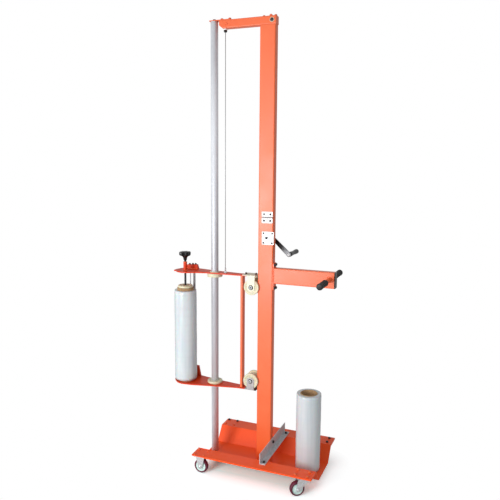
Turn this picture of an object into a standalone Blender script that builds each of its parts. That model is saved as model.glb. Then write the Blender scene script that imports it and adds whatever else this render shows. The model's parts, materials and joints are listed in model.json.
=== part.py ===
"""Hand-pushed pallet wrapper: a castered base tray with a mast, and a film carriage hoisted by a crank winch."""
import math

import bmesh
import bpy
from mathutils import Matrix, Vector

# Clearance left between neighbouring pieces, in metres.
GAP = 0.0003

# Overall sizes.
OVERALL_H = 2.300
BASE_X0 = -0.3225
BASE_X1 = 0.3225
BASE_Y0 = -0.2250
BASE_Y1 = 0.2455
TRAY_TOP = 0.108

# Base tray: one bent sheet, with a trough between two flanges.
SHEET = 0.003
TROUGH_FLOOR_TOP = 0.033
TROUGH_Y0 = -0.080
TROUGH_Y1 = 0.103
FOLD_Y0 = -0.143
FOLD_Y1 = 0.158
LIP_DROP = 0.0065
NOTCH_X = -0.250
RAIL_T = 0.0045

# Mast, boom and guide tube.
MAST_W = 0.080
MAST_D = 0.040
MAST_WALL = 0.003
MAST_SPLICE_Z = 1.3365
BOOM_H = 0.040
BOOM_X0 = -0.2567
BOOM_WALL = 0.0026
TUBE_X = -0.291
TUBE_R = 0.019
TUBE_WALL = 0.0025

# Winch and crank, with the shaft along Y.
WINCH_X = 0.0066
WINCH_Z = 1.233
DRUM_R = 0.0254
SHAFT_R = 0.006
CRANK_X = 0.1022
CRANK_Z = 1.1445
CRANK_GRIP_R = 0.0125

# Hoist cable and its two pulleys.
CABLE_R = 0.0015
PULLEY_PITCH_R = 0.0125
PULLEY_Z = OVERALL_H - BOOM_H / 2
CABLE_MAST_X = WINCH_X + DRUM_R + GAP + CABLE_R
MAST_PULLEY_X = CABLE_MAST_X - PULLEY_PITCH_R
CABLE_DROP_X = -0.2301
BOOM_PULLEY_X = CABLE_DROP_X + PULLEY_PITCH_R
CABLE_SPLIT_Z = 2.2440

# Film carriage.
ARM_T = 0.006
BOTTOM_ARM_Z = 0.4205
TOP_ARM_Z = 1.0285
POST_X = -0.131
POST_T = 0.012
POST_D = 0.034
BUSH_R = 0.0405
BUSH_SLEEVE_R = 0.026
ROLLER_X = -0.0715
ROLLER_Z_UP = 0.975
ROLLER_Z_LO = 0.474
ROLLER_FLANGE_R = 0.0405
ROLLER_BARREL_R = -MAST_W / 2 - GAP - ROLLER_X
AXLE_R = 0.006

# Film roll on its hubs.
ROLL_X = -0.457
ROLL_Y = -0.020
FILM_R = 0.060
CORE_R = 0.044
CORE_WALL = 0.005
FILM_Z0 = 0.4355
FILM_Z1 = 0.9285
CORE_Z1 = 0.9420
SCREW_R = 0.006
KNOB_R = 0.032
ROD_Y = 0.050
ROD_X = -0.463
TENSION_X = -0.4395
TENSION_R = 0.0065

# Push handle.
HANDLE_Z = 1.041
HANDLE_H = 0.080
HANDLE_D = 0.040
HANDLE_X1 = 0.357
BAR_X = 0.333
BAR_R = 0.011
BAR_HALF = 0.197
GRIP_R = 0.016
GRIP_LEN = 0.102

# Spare roll standing in the trough.
SPARE_X = 0.235
SPARE_Y = 0.012
SPARE_R = 0.064
SPARE_Z1 = 0.440

# Casters: the two at the film end are rigid, the two at the handle end swivel.
WHEEL_R = 0.0375
CASTER_TRAIL = 0.028
CASTER_ANGLE = math.radians(217.0)
CASTER_PLATE_T = 0.003
RIGID_CASTERS = ("fl", "rl")
CASTERS = {
    "fl": (-0.282, -0.186),
    "fr": (0.268, -0.186),
    "rl": (-0.282, 0.2045),
    "rr": (0.265, 0.2045),
}

ORANGE = (0.80, 0.13, 0.03)
ZINC = (0.60, 0.61, 0.63)
STEEL = (0.66, 0.67, 0.68)
GALVANISED = (0.45, 0.46, 0.47)
NYLON = (0.83, 0.78, 0.62)
BLACK = (0.02, 0.02, 0.02)
FILM = (0.78, 0.84, 0.87)
CARDBOARD = (0.50, 0.36, 0.22)
TYRE = (0.20, 0.05, 0.07)


def clear_scene():
    for obj in list(bpy.data.objects):
        bpy.data.objects.remove(obj, do_unlink=True)


def rounded_rect(cx, cy, w, h, r, steps=3):
    pts = []
    corners = (
        (cx + w / 2 - r, cy + h / 2 - r, 0),
        (cx - w / 2 + r, cy + h / 2 - r, 90),
        (cx - w / 2 + r, cy - h / 2 + r, 180),
        (cx + w / 2 - r, cy - h / 2 + r, 270),
    )
    for px, py, start in corners:
        for i in range(steps + 1):
            a = math.radians(start + 90 * i / steps)
            pts.append((px + r * math.cos(a), py + r * math.sin(a)))
    return pts


def place(u, v, h, axis):
    """Map a profile point and a height to world axes: the profile lies in the plane across the axis."""
    if axis == "x":
        return Vector((h, u, v))
    if axis == "y":
        return Vector((u, h, v))
    return Vector((u, v, h))


def prism(points, axis, a, b):
    bm = bmesh.new()
    low = [bm.verts.new(place(u, v, a, axis)) for u, v in points]
    high = [bm.verts.new(place(u, v, b, axis)) for u, v in points]
    n = len(points)
    bm.faces.new(low)
    bm.faces.new(list(reversed(high)))
    for i in range(n):
        j = (i + 1) % n
        bm.faces.new((low[i], high[i], high[j], low[j]))
    return bm


def hollow_prism(outer, inner, axis, a, b):
    bm = bmesh.new()
    rings = []
    for pts, h in ((outer, a), (outer, b), (inner, b), (inner, a)):
        rings.append([bm.verts.new(place(u, v, h, axis)) for u, v in pts])
    n = len(outer)
    for k in range(4):
        p = rings[k]
        q = rings[(k + 1) % 4]
        for i in range(n):
            j = (i + 1) % n
            bm.faces.new((p[i], q[i], q[j], p[j]))
    return bm


def box(x0, x1, y0, y1, z0, z1):
    return prism([(x0, y0), (x1, y0), (x1, y1), (x0, y1)], "z", z0, z1)


def lathe(profile, centre, axis="z", segs=32):
    """Turn a profile of (radius, height) pairs; it closes on itself unless its ends lie on the axis."""
    bm = bmesh.new()
    rings = []
    for r, h in profile:
        if r < 1e-7:
            rings.append([bm.verts.new(place(centre[0], centre[1], h, axis))])
            continue
        ring = []
        for i in range(segs):
            a = 2 * math.pi * i / segs
            u = centre[0] + r * math.cos(a)
            v = centre[1] + r * math.sin(a)
            ring.append(bm.verts.new(place(u, v, h, axis)))
        rings.append(ring)
    count = len(rings)
    solid = len(rings[0]) == 1
    for k in range(count - 1 if solid else count):
        p = rings[k]
        q = rings[(k + 1) % count]
        for i in range(segs):
            j = (i + 1) % segs
            if len(p) == 1:
                bm.faces.new((p[0], q[i], q[j]))
            elif len(q) == 1:
                bm.faces.new((p[i], q[0], p[j]))
            else:
                bm.faces.new((p[i], q[i], q[j], p[j]))
    return bm


def rod(r, centre, axis, a, b, segs=24):
    return lathe([(0, a), (r, a), (r, b), (0, b)], centre, axis, segs)


def ring(r_out, r_in, centre, axis, a, b, segs=32):
    return lathe([(r_in, a), (r_out, a), (r_out, b), (r_in, b)], centre, axis, segs)


def sheet_profile(path, t):
    """Give a path of midline points a thickness, with mitred corners."""
    left = []
    right = []
    n = len(path)
    for i in range(n):
        p = Vector(path[i])
        before = (p - Vector(path[i - 1])).normalized() if i else None
        after = (Vector(path[i + 1]) - p).normalized() if i < n - 1 else None
        if before is None:
            before = after
        if after is None:
            after = before
        nb = Vector((-before.y, before.x))
        na = Vector((-after.y, after.x))
        m = (nb + na).normalized()
        k = (t / 2) / m.dot(na)
        left.append(tuple(p + m * k))
        right.append(tuple(p - m * k))
    return left + list(reversed(right))


def sweep(path, r, segs=8):
    """Run a round section along a path that lies in the XZ plane."""
    bm = bmesh.new()
    rings = []
    n = len(path)
    for i, p in enumerate(path):
        p = Vector(p)
        ahead = Vector(path[min(i + 1, n - 1)])
        behind = Vector(path[max(i - 1, 0)])
        t = (ahead - behind).normalized()
        side = Vector((0, 1, 0))
        up = t.cross(side)
        loop = []
        for k in range(segs):
            a = 2 * math.pi * k / segs
            loop.append(bm.verts.new(p + side * (r * math.cos(a)) + up * (r * math.sin(a))))
        rings.append(loop)
    bm.faces.new(rings[0])
    bm.faces.new(list(reversed(rings[-1])))
    for i in range(n - 1):
        for k in range(segs):
            j = (k + 1) % segs
            bm.faces.new((rings[i][k], rings[i + 1][k], rings[i + 1][j], rings[i][j]))
    return bm


def lobed(levels, centre, lobes, segs):
    """Stack rings of (height, radius, lobe depth) about a vertical axis and close both ends."""
    bm = bmesh.new()
    rings = []
    for h, r, depth in levels:
        loop = []
        for i in range(segs):
            a = 2 * math.pi * i / segs
            rr = r - depth * (0.5 - 0.5 * math.cos(lobes * a))
            loop.append(bm.verts.new((centre[0] + rr * math.cos(a), centre[1] + rr * math.sin(a), h)))
        rings.append(loop)
    bm.faces.new(rings[0])
    bm.faces.new(list(reversed(rings[-1])))
    for k in range(len(rings) - 1):
        for i in range(segs):
            j = (i + 1) % segs
            bm.faces.new((rings[k][i], rings[k + 1][i], rings[k + 1][j], rings[k][j]))
    return bm


def taper_bar(p, q, rp, rq, steps=8):
    """Outline of a bar with round ends of two radii, as (u, v) points."""
    base = math.atan2(q[1] - p[1], q[0] - p[0])
    length = math.hypot(q[0] - p[0], q[1] - p[1])
    lean = math.acos((rp - rq) / length)
    pts = []
    for i in range(steps + 1):
        a = base + lean + (2 * math.pi - 2 * lean) * i / steps
        pts.append((p[0] + rp * math.cos(a), p[1] + rp * math.sin(a)))
    for i in range(steps + 1):
        a = base - lean + 2 * lean * i / steps
        pts.append((q[0] + rq * math.cos(a), q[1] + rq * math.sin(a)))
    return pts


def material(name, colour, rough, metal):
    mat = bpy.data.materials.new(name)
    mat.use_nodes = True
    shader = mat.node_tree.nodes["Principled BSDF"]
    shader.inputs["Base Color"].default_value = (*colour, 1.0)
    shader.inputs["Roughness"].default_value = rough
    shader.inputs["Metallic"].default_value = metal
    return mat


def add(name, bm, colour, origin=(0, 0, 0), smooth=False, rough=0.5, metal=0.0, turn=None):
    """Make an object whose origin sits on its joint axis; `turn` is an optional matrix for the shape."""
    if turn is not None:
        bmesh.ops.transform(bm, matrix=turn, verts=bm.verts)
    bmesh.ops.translate(bm, verts=bm.verts, vec=-Vector(origin))
    bmesh.ops.recalc_face_normals(bm, faces=bm.faces)
    mesh = bpy.data.meshes.new(name)
    bm.to_mesh(mesh)
    bm.free()
    for poly in mesh.polygons:
        poly.use_smooth = smooth
    obj = bpy.data.objects.new(name, mesh)
    obj.location = origin
    bpy.context.scene.collection.objects.link(obj)
    mesh.materials.append(material(name + "_mat", colour, rough, metal))
    return obj


def tool(obj, bm, operation, turn=None):
    """Cut a shape from an object, or join one to it, with a hidden helper."""
    helper = add(f"{obj.name}_tool{len(obj.modifiers)}", bm, BLACK, turn=turn)
    helper.hide_render = True
    helper.display_type = "WIRE"
    mod = obj.modifiers.new("shape", "BOOLEAN")
    mod.operation = operation
    mod.solver = "EXACT"
    mod.object = helper


def cut(obj, bm, turn=None):
    tool(obj, bm, "DIFFERENCE", turn)


def join(obj, bm, turn=None):
    tool(obj, bm, "UNION", turn)


def bevel(obj, width, segments=1):
    mod = obj.modifiers.new("edge", "BEVEL")
    mod.width = width
    mod.segments = segments
    mod.limit_method = "ANGLE"


def build_base():
    half = SHEET / 2
    top = TRAY_TOP - half
    floor = TROUGH_FLOOR_TOP - half
    path = [
        (BASE_Y0 + half, top - LIP_DROP),
        (BASE_Y0 + half, top),
        (FOLD_Y0, top),
        (TROUGH_Y0, floor),
        (TROUGH_Y1, floor),
        (FOLD_Y1, top),
        (BASE_Y1 - half, top),
        (BASE_Y1 - half, top - LIP_DROP),
    ]
    tray = add("base_tray", prism(sheet_profile(path, SHEET), "x", BASE_X0, BASE_X1), ORANGE)
    cut(tray, box(BASE_X0 - 0.02, NOTCH_X, BASE_Y0 - 0.02, FOLD_Y0 + 0.0005, 0.080, 0.130))

    # The rails run under the flanges; the front one shows where the tray is notched.
    rail_top = TRAY_TOP - SHEET - GAP
    rail_low = rail_top - RAIL_T
    front = rounded_rect(0, (BASE_Y0 + SHEET + GAP + FOLD_Y0 - 0.004) / 2,
                         BASE_X1 - BASE_X0, FOLD_Y0 - 0.004 - BASE_Y0 - SHEET - GAP, 0.004)
    add("front_rail", prism(front, "z", rail_low, rail_top), ORANGE)
    rear = rounded_rect(0, (FOLD_Y1 + 0.006 + BASE_Y1 - SHEET - GAP) / 2,
                        BASE_X1 - BASE_X0, BASE_Y1 - SHEET - GAP - FOLD_Y1 - 0.006, 0.004)
    add("rear_rail", prism(rear, "z", rail_low, rail_top), ORANGE)

    x = MAST_W / 2 + GAP
    z = TRAY_TOP + GAP
    leg = [(x, z), (x + 0.030, z), (x + 0.030, z + 0.004), (x + 0.004, z + 0.004), (x + 0.004, z + 0.055),
           (x, z + 0.055)]
    brace = add("angle_brace", prism(leg, "y", -0.184, 0.209), GALVANISED, rough=0.45, metal=0.8)
    bevel(brace, 0.0008)
    return rail_low


def build_caster(tag, centre, rail_low):
    cx, cy = centre
    plate_top = rail_low - GAP
    plate_low = plate_top - CASTER_PLATE_T
    outline = rounded_rect(cx, cy, 0.080, 0.066, 0.008)
    add(f"caster_plate_{tag}", prism(outline, "z", plate_low, plate_top), ZINC, metal=0.8, rough=0.35)

    # The fork and wheel are shaped with the trail along local +X, then turned about the swivel axis.
    rigid = tag in RIGID_CASTERS
    trail = 0.0 if rigid else CASTER_TRAIL
    angle = 0.0 if rigid else CASTER_ANGLE
    turn = Matrix.Translation((cx, cy, 0)) @ Matrix.Rotation(angle, 4, "Z")
    neck_top = plate_low - GAP
    if rigid:
        deck = neck_top
        side = [(-0.024, deck), (-0.023, deck - 0.012), (-0.0125, WHEEL_R + 0.003)]
        for i in range(7):
            a = math.radians(195 + 150 * i / 6)
            side.append((0.0120 * math.cos(a), WHEEL_R + 0.0120 * math.sin(a)))
        side += [(0.0125, WHEEL_R + 0.003), (0.023, deck - 0.012), (0.024, deck)]
    else:
        deck = 0.0890
        side = [(-0.024, deck), (-0.024, deck - 0.007), (trail - 0.012, WHEEL_R - 0.005)]
        for i in range(7):
            a = math.radians(205 + 155 * i / 6)
            side.append((trail + 0.011 * math.cos(a), WHEEL_R + 0.011 * math.sin(a)))
        side += [(trail + 0.011, WHEEL_R + 0.004), (0.030, deck - 0.008), (0.027, deck)]
    fork = add(f"caster_fork_{tag}", prism(side, "y", -0.0185, 0.0185), ZINC, origin=(cx, cy, neck_top),
               metal=0.8, rough=0.35, turn=turn)
    cut(fork, box(-0.05, 0.06, -0.0160, 0.0160, -0.01, deck - 0.0030), turn=turn)
    if not rigid:
        join(fork, rod(0.0205, (0, 0), "z", deck - 0.002, neck_top), turn=turn)
    join(fork, rod(0.0040, (trail, WHEEL_R), "y", -0.0215, 0.0215, 16), turn=turn)

    hub = 0.0155
    profile = [(0.0043, -hub), (0.0095, -hub), (0.0115, -0.0105), (0.0255, -0.0085), (0.0280, -0.0120),
               (0.0345, -0.0120), (WHEEL_R, -0.0070), (WHEEL_R, 0.0070), (0.0345, 0.0120), (0.0280, 0.0120),
               (0.0255, 0.0085), (0.0115, 0.0105), (0.0095, hub), (0.0043, hub)]
    axle = turn @ Vector((trail, 0, WHEEL_R))
    add(f"caster_wheel_{tag}", lathe(profile, (trail, WHEEL_R), "y", 24), TYRE, origin=axle,
        smooth=True, turn=turn)


def build_mast():
    outer = rounded_rect(0, 0, MAST_W, MAST_D, 0.005)
    inner = rounded_rect(0, 0, MAST_W - 2 * MAST_WALL, MAST_D - 2 * MAST_WALL, 0.002)
    foot = TROUGH_FLOOR_TOP + GAP
    lower = add("mast_lower", hollow_prism(outer, inner, "z", foot, MAST_SPLICE_Z - GAP / 2), ORANGE)
    cut(lower, rod(SHAFT_R + GAP, (WINCH_X, WINCH_Z), "y", -0.05, 0.05))
    boom_low = OVERALL_H - BOOM_H
    add("mast_upper", hollow_prism(outer, inner, "z", MAST_SPLICE_Z + GAP / 2, boom_low - GAP), ORANGE)

    out = rounded_rect(0, PULLEY_Z, MAST_D, BOOM_H, 0.004)
    inn = rounded_rect(0, PULLEY_Z, MAST_D - 2 * BOOM_WALL, BOOM_H - 2 * BOOM_WALL, 0.0015)
    boom = add("top_boom", hollow_prism(out, inn, "x", BOOM_X0, MAST_W / 2), ORANGE)
    wedge = [(BOOM_X0 - 0.01, boom_low - 0.01), (BOOM_X0 + 0.030, boom_low - 0.01), (BOOM_X0 - 0.01, boom_low + 0.024)]
    cut(boom, prism(wedge, "y", -0.04, 0.04))
    # A strap welded on the boom reaches over the guide tube and holds its top.
    strap = rounded_rect((-0.314 - 0.196) / 2, 0, 0.118, 0.034, 0.006)
    join(boom, prism(strap, "z", OVERALL_H - 0.0005, OVERALL_H + 0.003))
    for x in (MAST_PULLEY_X, BOOM_PULLEY_X):
        cut(boom, rod(0.005 + GAP, (x, PULLEY_Z), "y", -0.04, 0.04))
    for x in (CABLE_MAST_X, CABLE_DROP_X):
        cut(boom, rod(0.0030, (x, 0), "z", boom_low - 0.01, boom_low + 0.010, 16))

    # Butt hinge over the splice on the mast's front face.
    front = -MAST_D / 2 - GAP
    for name, z0, z1 in (("hinge_upper_leaf", 1.3395, 1.3650), ("hinge_lower_leaf", 1.3075, 1.3330)):
        leaf = rounded_rect(0.0085, (z0 + z1) / 2, 0.058, z1 - z0, 0.002, 2)
        add(name, prism(leaf, "y", front - 0.0025, front), STEEL, metal=0.9, rough=0.3)
    knuckle = rod(0.0030, (front - 0.0030, MAST_SPLICE_Z), "x", -0.0195, 0.0365, 16)
    add("hinge_pin", knuckle, STEEL, origin=(0.0085, front - 0.0030, MAST_SPLICE_Z), smooth=True, metal=0.9, rough=0.3)

    tube = ring(TUBE_R, TUBE_R - TUBE_WALL, (TUBE_X, 0), "z", foot, OVERALL_H - 0.0005 - GAP, 32)
    add("guide_tube", tube, STEEL, smooth=True, metal=0.9, rough=0.3)

    x = CABLE_DROP_X
    profile = [(0.0022, 2.2450), (0.0062, 2.2450), (0.0062, 2.2545), (0.0100, 2.2545), (0.0100, boom_low - GAP),
               (0.0022, boom_low - GAP)]
    add("cable_guide", lathe(profile, (x, 0), "z", 24), NYLON, smooth=True)


def build_winch():
    front = -MAST_D / 2 - GAP
    outline = rounded_rect(0.013, 1.2320, 0.063, 0.066, 0.002, 2)
    plate = add("winch_plate", prism(outline, "y", front - 0.003, front), STEEL, metal=0.9, rough=0.3)
    cut(plate, rod(SHAFT_R + GAP, (WINCH_X, WINCH_Z), "y", -0.05, 0.0))

    profile = [(0, -0.0260), (SHAFT_R, -0.0260), (SHAFT_R, -0.0165), (0.0292, -0.0165), (0.0292, -0.0140),
               (DRUM_R, -0.0140), (DRUM_R, 0.0140), (0.0292, 0.0140), (0.0292, 0.0165), (SHAFT_R, 0.0165),
               (SHAFT_R, 0.0457), (0, 0.0457)]
    add("winch_drum", lathe(profile, (WINCH_X, WINCH_Z), "y", 32), STEEL, origin=(WINCH_X, 0, WINCH_Z),
        smooth=True, metal=0.9, rough=0.3)
    outline = taper_bar((WINCH_X, WINCH_Z), (CRANK_X, CRANK_Z), 0.0095, 0.0120)
    arm = add("crank_arm", prism(outline, "y", 0.0460, 0.0520), BLACK, origin=(WINCH_X, 0, WINCH_Z))
    bevel(arm, 0.0010)
    r = CRANK_GRIP_R
    profile = [(0, 0.0523), (0.0060, 0.0523), (0.0060, 0.0570), (r - 0.001, 0.0570), (r, 0.0600), (r, 0.1780),
               (r - 0.003, 0.1830), (0, 0.1840)]
    add("crank_grip", lathe(profile, (CRANK_X, CRANK_Z), "y", 28), BLACK, origin=(CRANK_X, 0, CRANK_Z), smooth=True)

    core = PULLEY_PITCH_R - CABLE_R - GAP
    profile = [(0, -0.0218), (0.005, -0.0218), (0.005, -0.0050), (0.0162, -0.0050), (0.0162, -0.0032),
               (core, -0.0020), (core, 0.0020), (0.0162, 0.0032), (0.0162, 0.0050), (0.005, 0.0050),
               (0.005, 0.0218), (0, 0.0218)]
    for name, x in (("mast_pulley", MAST_PULLEY_X), ("boom_pulley", BOOM_PULLEY_X)):
        add(name, lathe(profile, (x, PULLEY_Z), "y", 20), NYLON, origin=(x, 0, PULLEY_Z), smooth=True)

    # The cable runs up inside the mast, over both pulleys and out of the guide.
    path = [(CABLE_MAST_X, 0, WINCH_Z), (CABLE_MAST_X, 0, PULLEY_Z)]
    for i in range(1, 7):
        a = math.radians(90 * i / 6)
        path.append((MAST_PULLEY_X + PULLEY_PITCH_R * math.cos(a), 0, PULLEY_Z + PULLEY_PITCH_R * math.sin(a)))
    for i in range(0, 7):
        a = math.radians(90 + 90 * i / 6)
        path.append((BOOM_PULLEY_X + PULLEY_PITCH_R * math.cos(a), 0, PULLEY_Z + PULLEY_PITCH_R * math.sin(a)))
    path.append((CABLE_DROP_X, 0, CABLE_SPLIT_Z))
    add("cable_run", sweep(path, CABLE_R), STEEL, smooth=True, metal=0.7, rough=0.4)
    drop = rod(CABLE_R, (CABLE_DROP_X, 0), "z", TOP_ARM_Z + ARM_T + GAP, CABLE_SPLIT_Z - GAP, 8)
    add("cable_drop", drop, STEEL, smooth=True, metal=0.7, rough=0.4)


def arm_outline(x_end, front, back, tip, waist):
    """Plan of a carriage arm, round under the roll; waist lists its front edge from there to the tube."""
    return [
        (x_end, -0.018), (x_end, 0.018), (-0.155, 0.0205), (TUBE_X, 0.020 + back * 0.3), (-0.400, back),
        (-0.445, back + 0.006), (-0.485, back - 0.004), (-0.508, back - 0.027), (tip, -0.005), (tip, -0.035),
        (-0.505, front + 0.032), (-0.480, front + 0.009), (-0.452, front), *waist, (-0.155, -0.024),
    ]


def build_carriage():
    waist = [(-0.400, -0.081), (TUBE_X, -0.054)]
    plan = arm_outline(-0.050, -0.085, 0.060, -0.518, waist)
    arm = add("bottom_arm", prism(plan, "z", BOTTOM_ARM_Z, BOTTOM_ARM_Z + ARM_T), ORANGE)
    cut(arm, rod(BUSH_SLEEVE_R + GAP, (TUBE_X, 0), "z", BOTTOM_ARM_Z - 0.01, BOTTOM_ARM_Z + 0.02, 32))
    cut(arm, rod(0.0083, (ROLL_X, ROLL_Y), "z", BOTTOM_ARM_Z - 0.01, BOTTOM_ARM_Z + 0.02, 20))
    waist = [(-0.427, -0.068), (-0.385, -0.047), (TUBE_X - 0.038, -0.0305), (TUBE_X, -0.0300)]
    plan = arm_outline(-0.105, -0.072, 0.060, -0.518, waist)
    arm = add("top_arm", prism(plan, "z", TOP_ARM_Z, TOP_ARM_Z + ARM_T), ORANGE)
    join(arm, rod(0.0100, (ROLL_X, ROLL_Y), "z", TOP_ARM_Z + 0.003, 1.0815, 20))
    cut(arm, rod(BUSH_SLEEVE_R + GAP, (TUBE_X, 0), "z", TOP_ARM_Z - 0.01, TOP_ARM_Z + 0.02, 32))
    cut(arm, rod(SCREW_R + GAP, (ROLL_X, ROLL_Y), "z", TOP_ARM_Z - 0.01, 1.09, 20))
    post = rounded_rect(POST_X, 0, POST_T, POST_D, 0.001, 1)
    add("carriage_post", prism(post, "z", BOTTOM_ARM_Z + ARM_T + GAP, TOP_ARM_Z - GAP), ORANGE)

    # Nylon bushes slide on the guide tube.
    bore = TUBE_R + GAP
    low = BOTTOM_ARM_Z + ARM_T + GAP
    profile = [(bore, BOTTOM_ARM_Z - 0.003), (BUSH_SLEEVE_R, BOTTOM_ARM_Z - 0.003), (BUSH_SLEEVE_R, low),
               (BUSH_R, low), (BUSH_R, low + 0.010), (BUSH_R - 0.002, low + 0.012), (bore, low + 0.012)]
    add("bottom_bush", lathe(profile, (TUBE_X, 0), "z", 32), NYLON, smooth=True)
    high = TOP_ARM_Z - GAP
    profile = [(bore, high - 0.018), (BUSH_R - 0.002, high - 0.018), (BUSH_R, high - 0.016), (BUSH_R, high),
               (BUSH_SLEEVE_R, high), (BUSH_SLEEVE_R, TOP_ARM_Z + ARM_T + 0.003), (bore, TOP_ARM_Z + ARM_T + 0.003)]
    add("top_bush", lathe(profile, (TUBE_X, 0), "z", 32), NYLON, smooth=True)

    # Flanged rollers straddle the mast's edge; each turns on an axle held by a fork.
    inner = MAST_D / 2 + 0.001
    outer = inner + 0.012
    r0 = AXLE_R + GAP
    profile = [(r0, -outer), (ROLLER_FLANGE_R - 0.002, -outer), (ROLLER_FLANGE_R, -outer + 0.002),
               (ROLLER_FLANGE_R, -inner), (ROLLER_BARREL_R, -inner), (ROLLER_BARREL_R, inner),
               (ROLLER_FLANGE_R, inner), (ROLLER_FLANGE_R, outer - 0.002), (ROLLER_FLANGE_R - 0.002, outer),
               (r0, outer)]
    leg_in = outer + GAP
    leg_out = leg_in + 0.003
    for tag, z, sign in (("upper", ROLLER_Z_UP, 1), ("lower", ROLLER_Z_LO, -1)):
        add(f"{tag}_roller", lathe(profile, (ROLLER_X, z), "y", 32), NYLON, origin=(ROLLER_X, 0, z), smooth=True)
        if sign > 0:
            seat = TOP_ARM_Z + ARM_T + GAP
        else:
            seat = BOTTOM_ARM_Z + ARM_T + GAP + 0.003
        plate = seat + 0.003 * sign
        end = z - 0.006 * sign
        x0 = ROLLER_X - 0.020
        x1 = ROLLER_X + 0.020
        tail = -0.120 if sign > 0 else -0.104
        side = [(tail, plate), (x1 + 0.001, plate), (x1, seat - 0.004 * sign), (x1, end)]
        for i in range(1, 6):
            a = math.radians(180 * i / 6)
            side.append((ROLLER_X + 0.020 * math.cos(a), end - sign * 0.014 * math.sin(a)))
        side += [(x0, end), (x0, seat), (tail, seat)]
        fork = add(f"{tag}_fork", prism(side, "y", -leg_out, leg_out), STEEL, metal=0.8, rough=0.35)
        lo = min(seat, z - 0.06) if sign > 0 else seat
        hi = seat if sign > 0 else z + 0.06
        cut(fork, box(-0.20, 0.0, -leg_in, leg_in, lo, hi))
        cut(fork, rod(AXLE_R + GAP, (ROLLER_X, z), "y", -0.06, 0.06, 20))
        bolt = [(0, -leg_out - 0.004), (0.009, -leg_out - 0.004), (0.009, -leg_out - GAP),
                (AXLE_R, -leg_out - GAP), (AXLE_R, leg_out + GAP), (0.009, leg_out + GAP),
                (0.009, leg_out + 0.004), (0, leg_out + 0.004)]
        add(f"{tag}_axle", lathe(bolt, (ROLLER_X, z), "y", 20), ZINC, smooth=True, metal=0.8, rough=0.3)


def build_roll():
    c = (ROLL_X, ROLL_Y)
    at = (ROLL_X, ROLL_Y, FILM_Z0)
    seat = BOTTOM_ARM_Z + ARM_T + GAP
    profile = [(0, BOTTOM_ARM_Z - 0.002), (0.008, BOTTOM_ARM_Z - 0.002), (0.008, seat), (0.043, seat),
               (0.043, FILM_Z0 - GAP), (CORE_R - CORE_WALL - 0.0005, FILM_Z0 - GAP),
               (CORE_R - CORE_WALL - 0.0020, FILM_Z0 + 0.030), (0, FILM_Z0 + 0.030)]
    add("bottom_hub", lathe(profile, c, "z", 36), NYLON, origin=at, smooth=True)
    add("film_core", ring(CORE_R, CORE_R - CORE_WALL, c, "z", FILM_Z0, CORE_Z1, 32), CARDBOARD, origin=at, smooth=True)
    film = [(CORE_R + GAP, FILM_Z0), (FILM_R - 0.001, FILM_Z0), (FILM_R, FILM_Z0 + 0.001), (FILM_R, FILM_Z1 - 0.001),
            (FILM_R - 0.001, FILM_Z1), (CORE_R + GAP, FILM_Z1)]
    add("film_roll", lathe(film, c, "z", 40), FILM, origin=at, smooth=True, rough=0.25)
    hub = [(0, CORE_Z1 - 0.027), (CORE_R - CORE_WALL - 0.0030, CORE_Z1 - 0.027), (CORE_R - CORE_WALL - 0.0010, CORE_Z1),
           (CORE_R - CORE_WALL - 0.0010, CORE_Z1 + GAP), (0.0405, CORE_Z1 + GAP), (0.0405, CORE_Z1 + 0.009),
           (0.0370, CORE_Z1 + 0.0125), (0.0150, CORE_Z1 + 0.0125), (0.0150, CORE_Z1 + 0.0105), (0, CORE_Z1 + 0.0105)]
    add("top_hub", lathe(hub, c, "z", 36), NYLON, origin=(ROLL_X, ROLL_Y, CORE_Z1), smooth=True)
    start = CORE_Z1 + 0.0105 + GAP
    add("tension_screw", rod(SCREW_R, c, "z", start, 1.1020, 20), BLACK, origin=(ROLL_X, ROLL_Y, start), smooth=True,
        metal=0.5)
    z = 1.0890
    levels = [(z, 0.0085, 0), (z + 0.012, 0.0110, 0), (z + 0.022, 0.0160, 0.001), (z + 0.026, 0.0290, 0.006),
              (z + 0.030, KNOB_R, 0.008), (z + 0.042, KNOB_R, 0.008), (z + 0.048, 0.0270, 0.005)]
    knob = add("star_knob", lobed(levels, c, 7, 42), BLACK, origin=(ROLL_X, ROLL_Y, start), smooth=False)
    cut(knob, rod(SCREW_R + GAP, c, "z", z - 0.01, 1.1020 + GAP, 20))

    # Brackets hold the guide rod and the tension roller behind the roll.
    z = TOP_ARM_Z + ARM_T + GAP
    side = [(-0.486, z), (-0.479, 1.0545), (-0.4185, 1.0580), (-0.411, z)]
    top = add("top_bracket", prism(side, "y", 0.0395, 0.0560), ORANGE)
    inside = [(-0.4825, z - 0.01), (-0.4765, 1.0520), (-0.4210, 1.0555), (-0.4145, z - 0.01)]
    cut(top, prism(inside, "y", 0.0420, 0.0535))
    z = BOTTOM_ARM_Z + ARM_T + GAP
    side = [(-0.490, z), (-0.480, 0.4850), (-0.414, 0.4850), (-0.402, z)]
    low = add("bottom_bracket", prism(side, "y", 0.0425, 0.0575), ORANGE)
    bevel(low, 0.0010)
    foot = 0.4850 + GAP
    add("guide_rod", rod(0.003, (ROD_X, ROD_Y), "z", foot, TOP_ARM_Z - GAP, 16), STEEL, smooth=True, metal=0.9,
        rough=0.25)
    r = TENSION_R
    roller = [(0, foot), (0.003, foot), (0.003, foot + 0.004), (r, foot + 0.004), (r, TOP_ARM_Z - 0.004),
              (0.003, TOP_ARM_Z - 0.004), (0.003, TOP_ARM_Z - GAP), (0, TOP_ARM_Z - GAP)]
    add("tension_roller", lathe(roller, (TENSION_X, ROD_Y), "z", 24), STEEL, origin=(TENSION_X, ROD_Y, foot),
        smooth=True, metal=0.6, rough=0.4)


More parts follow.
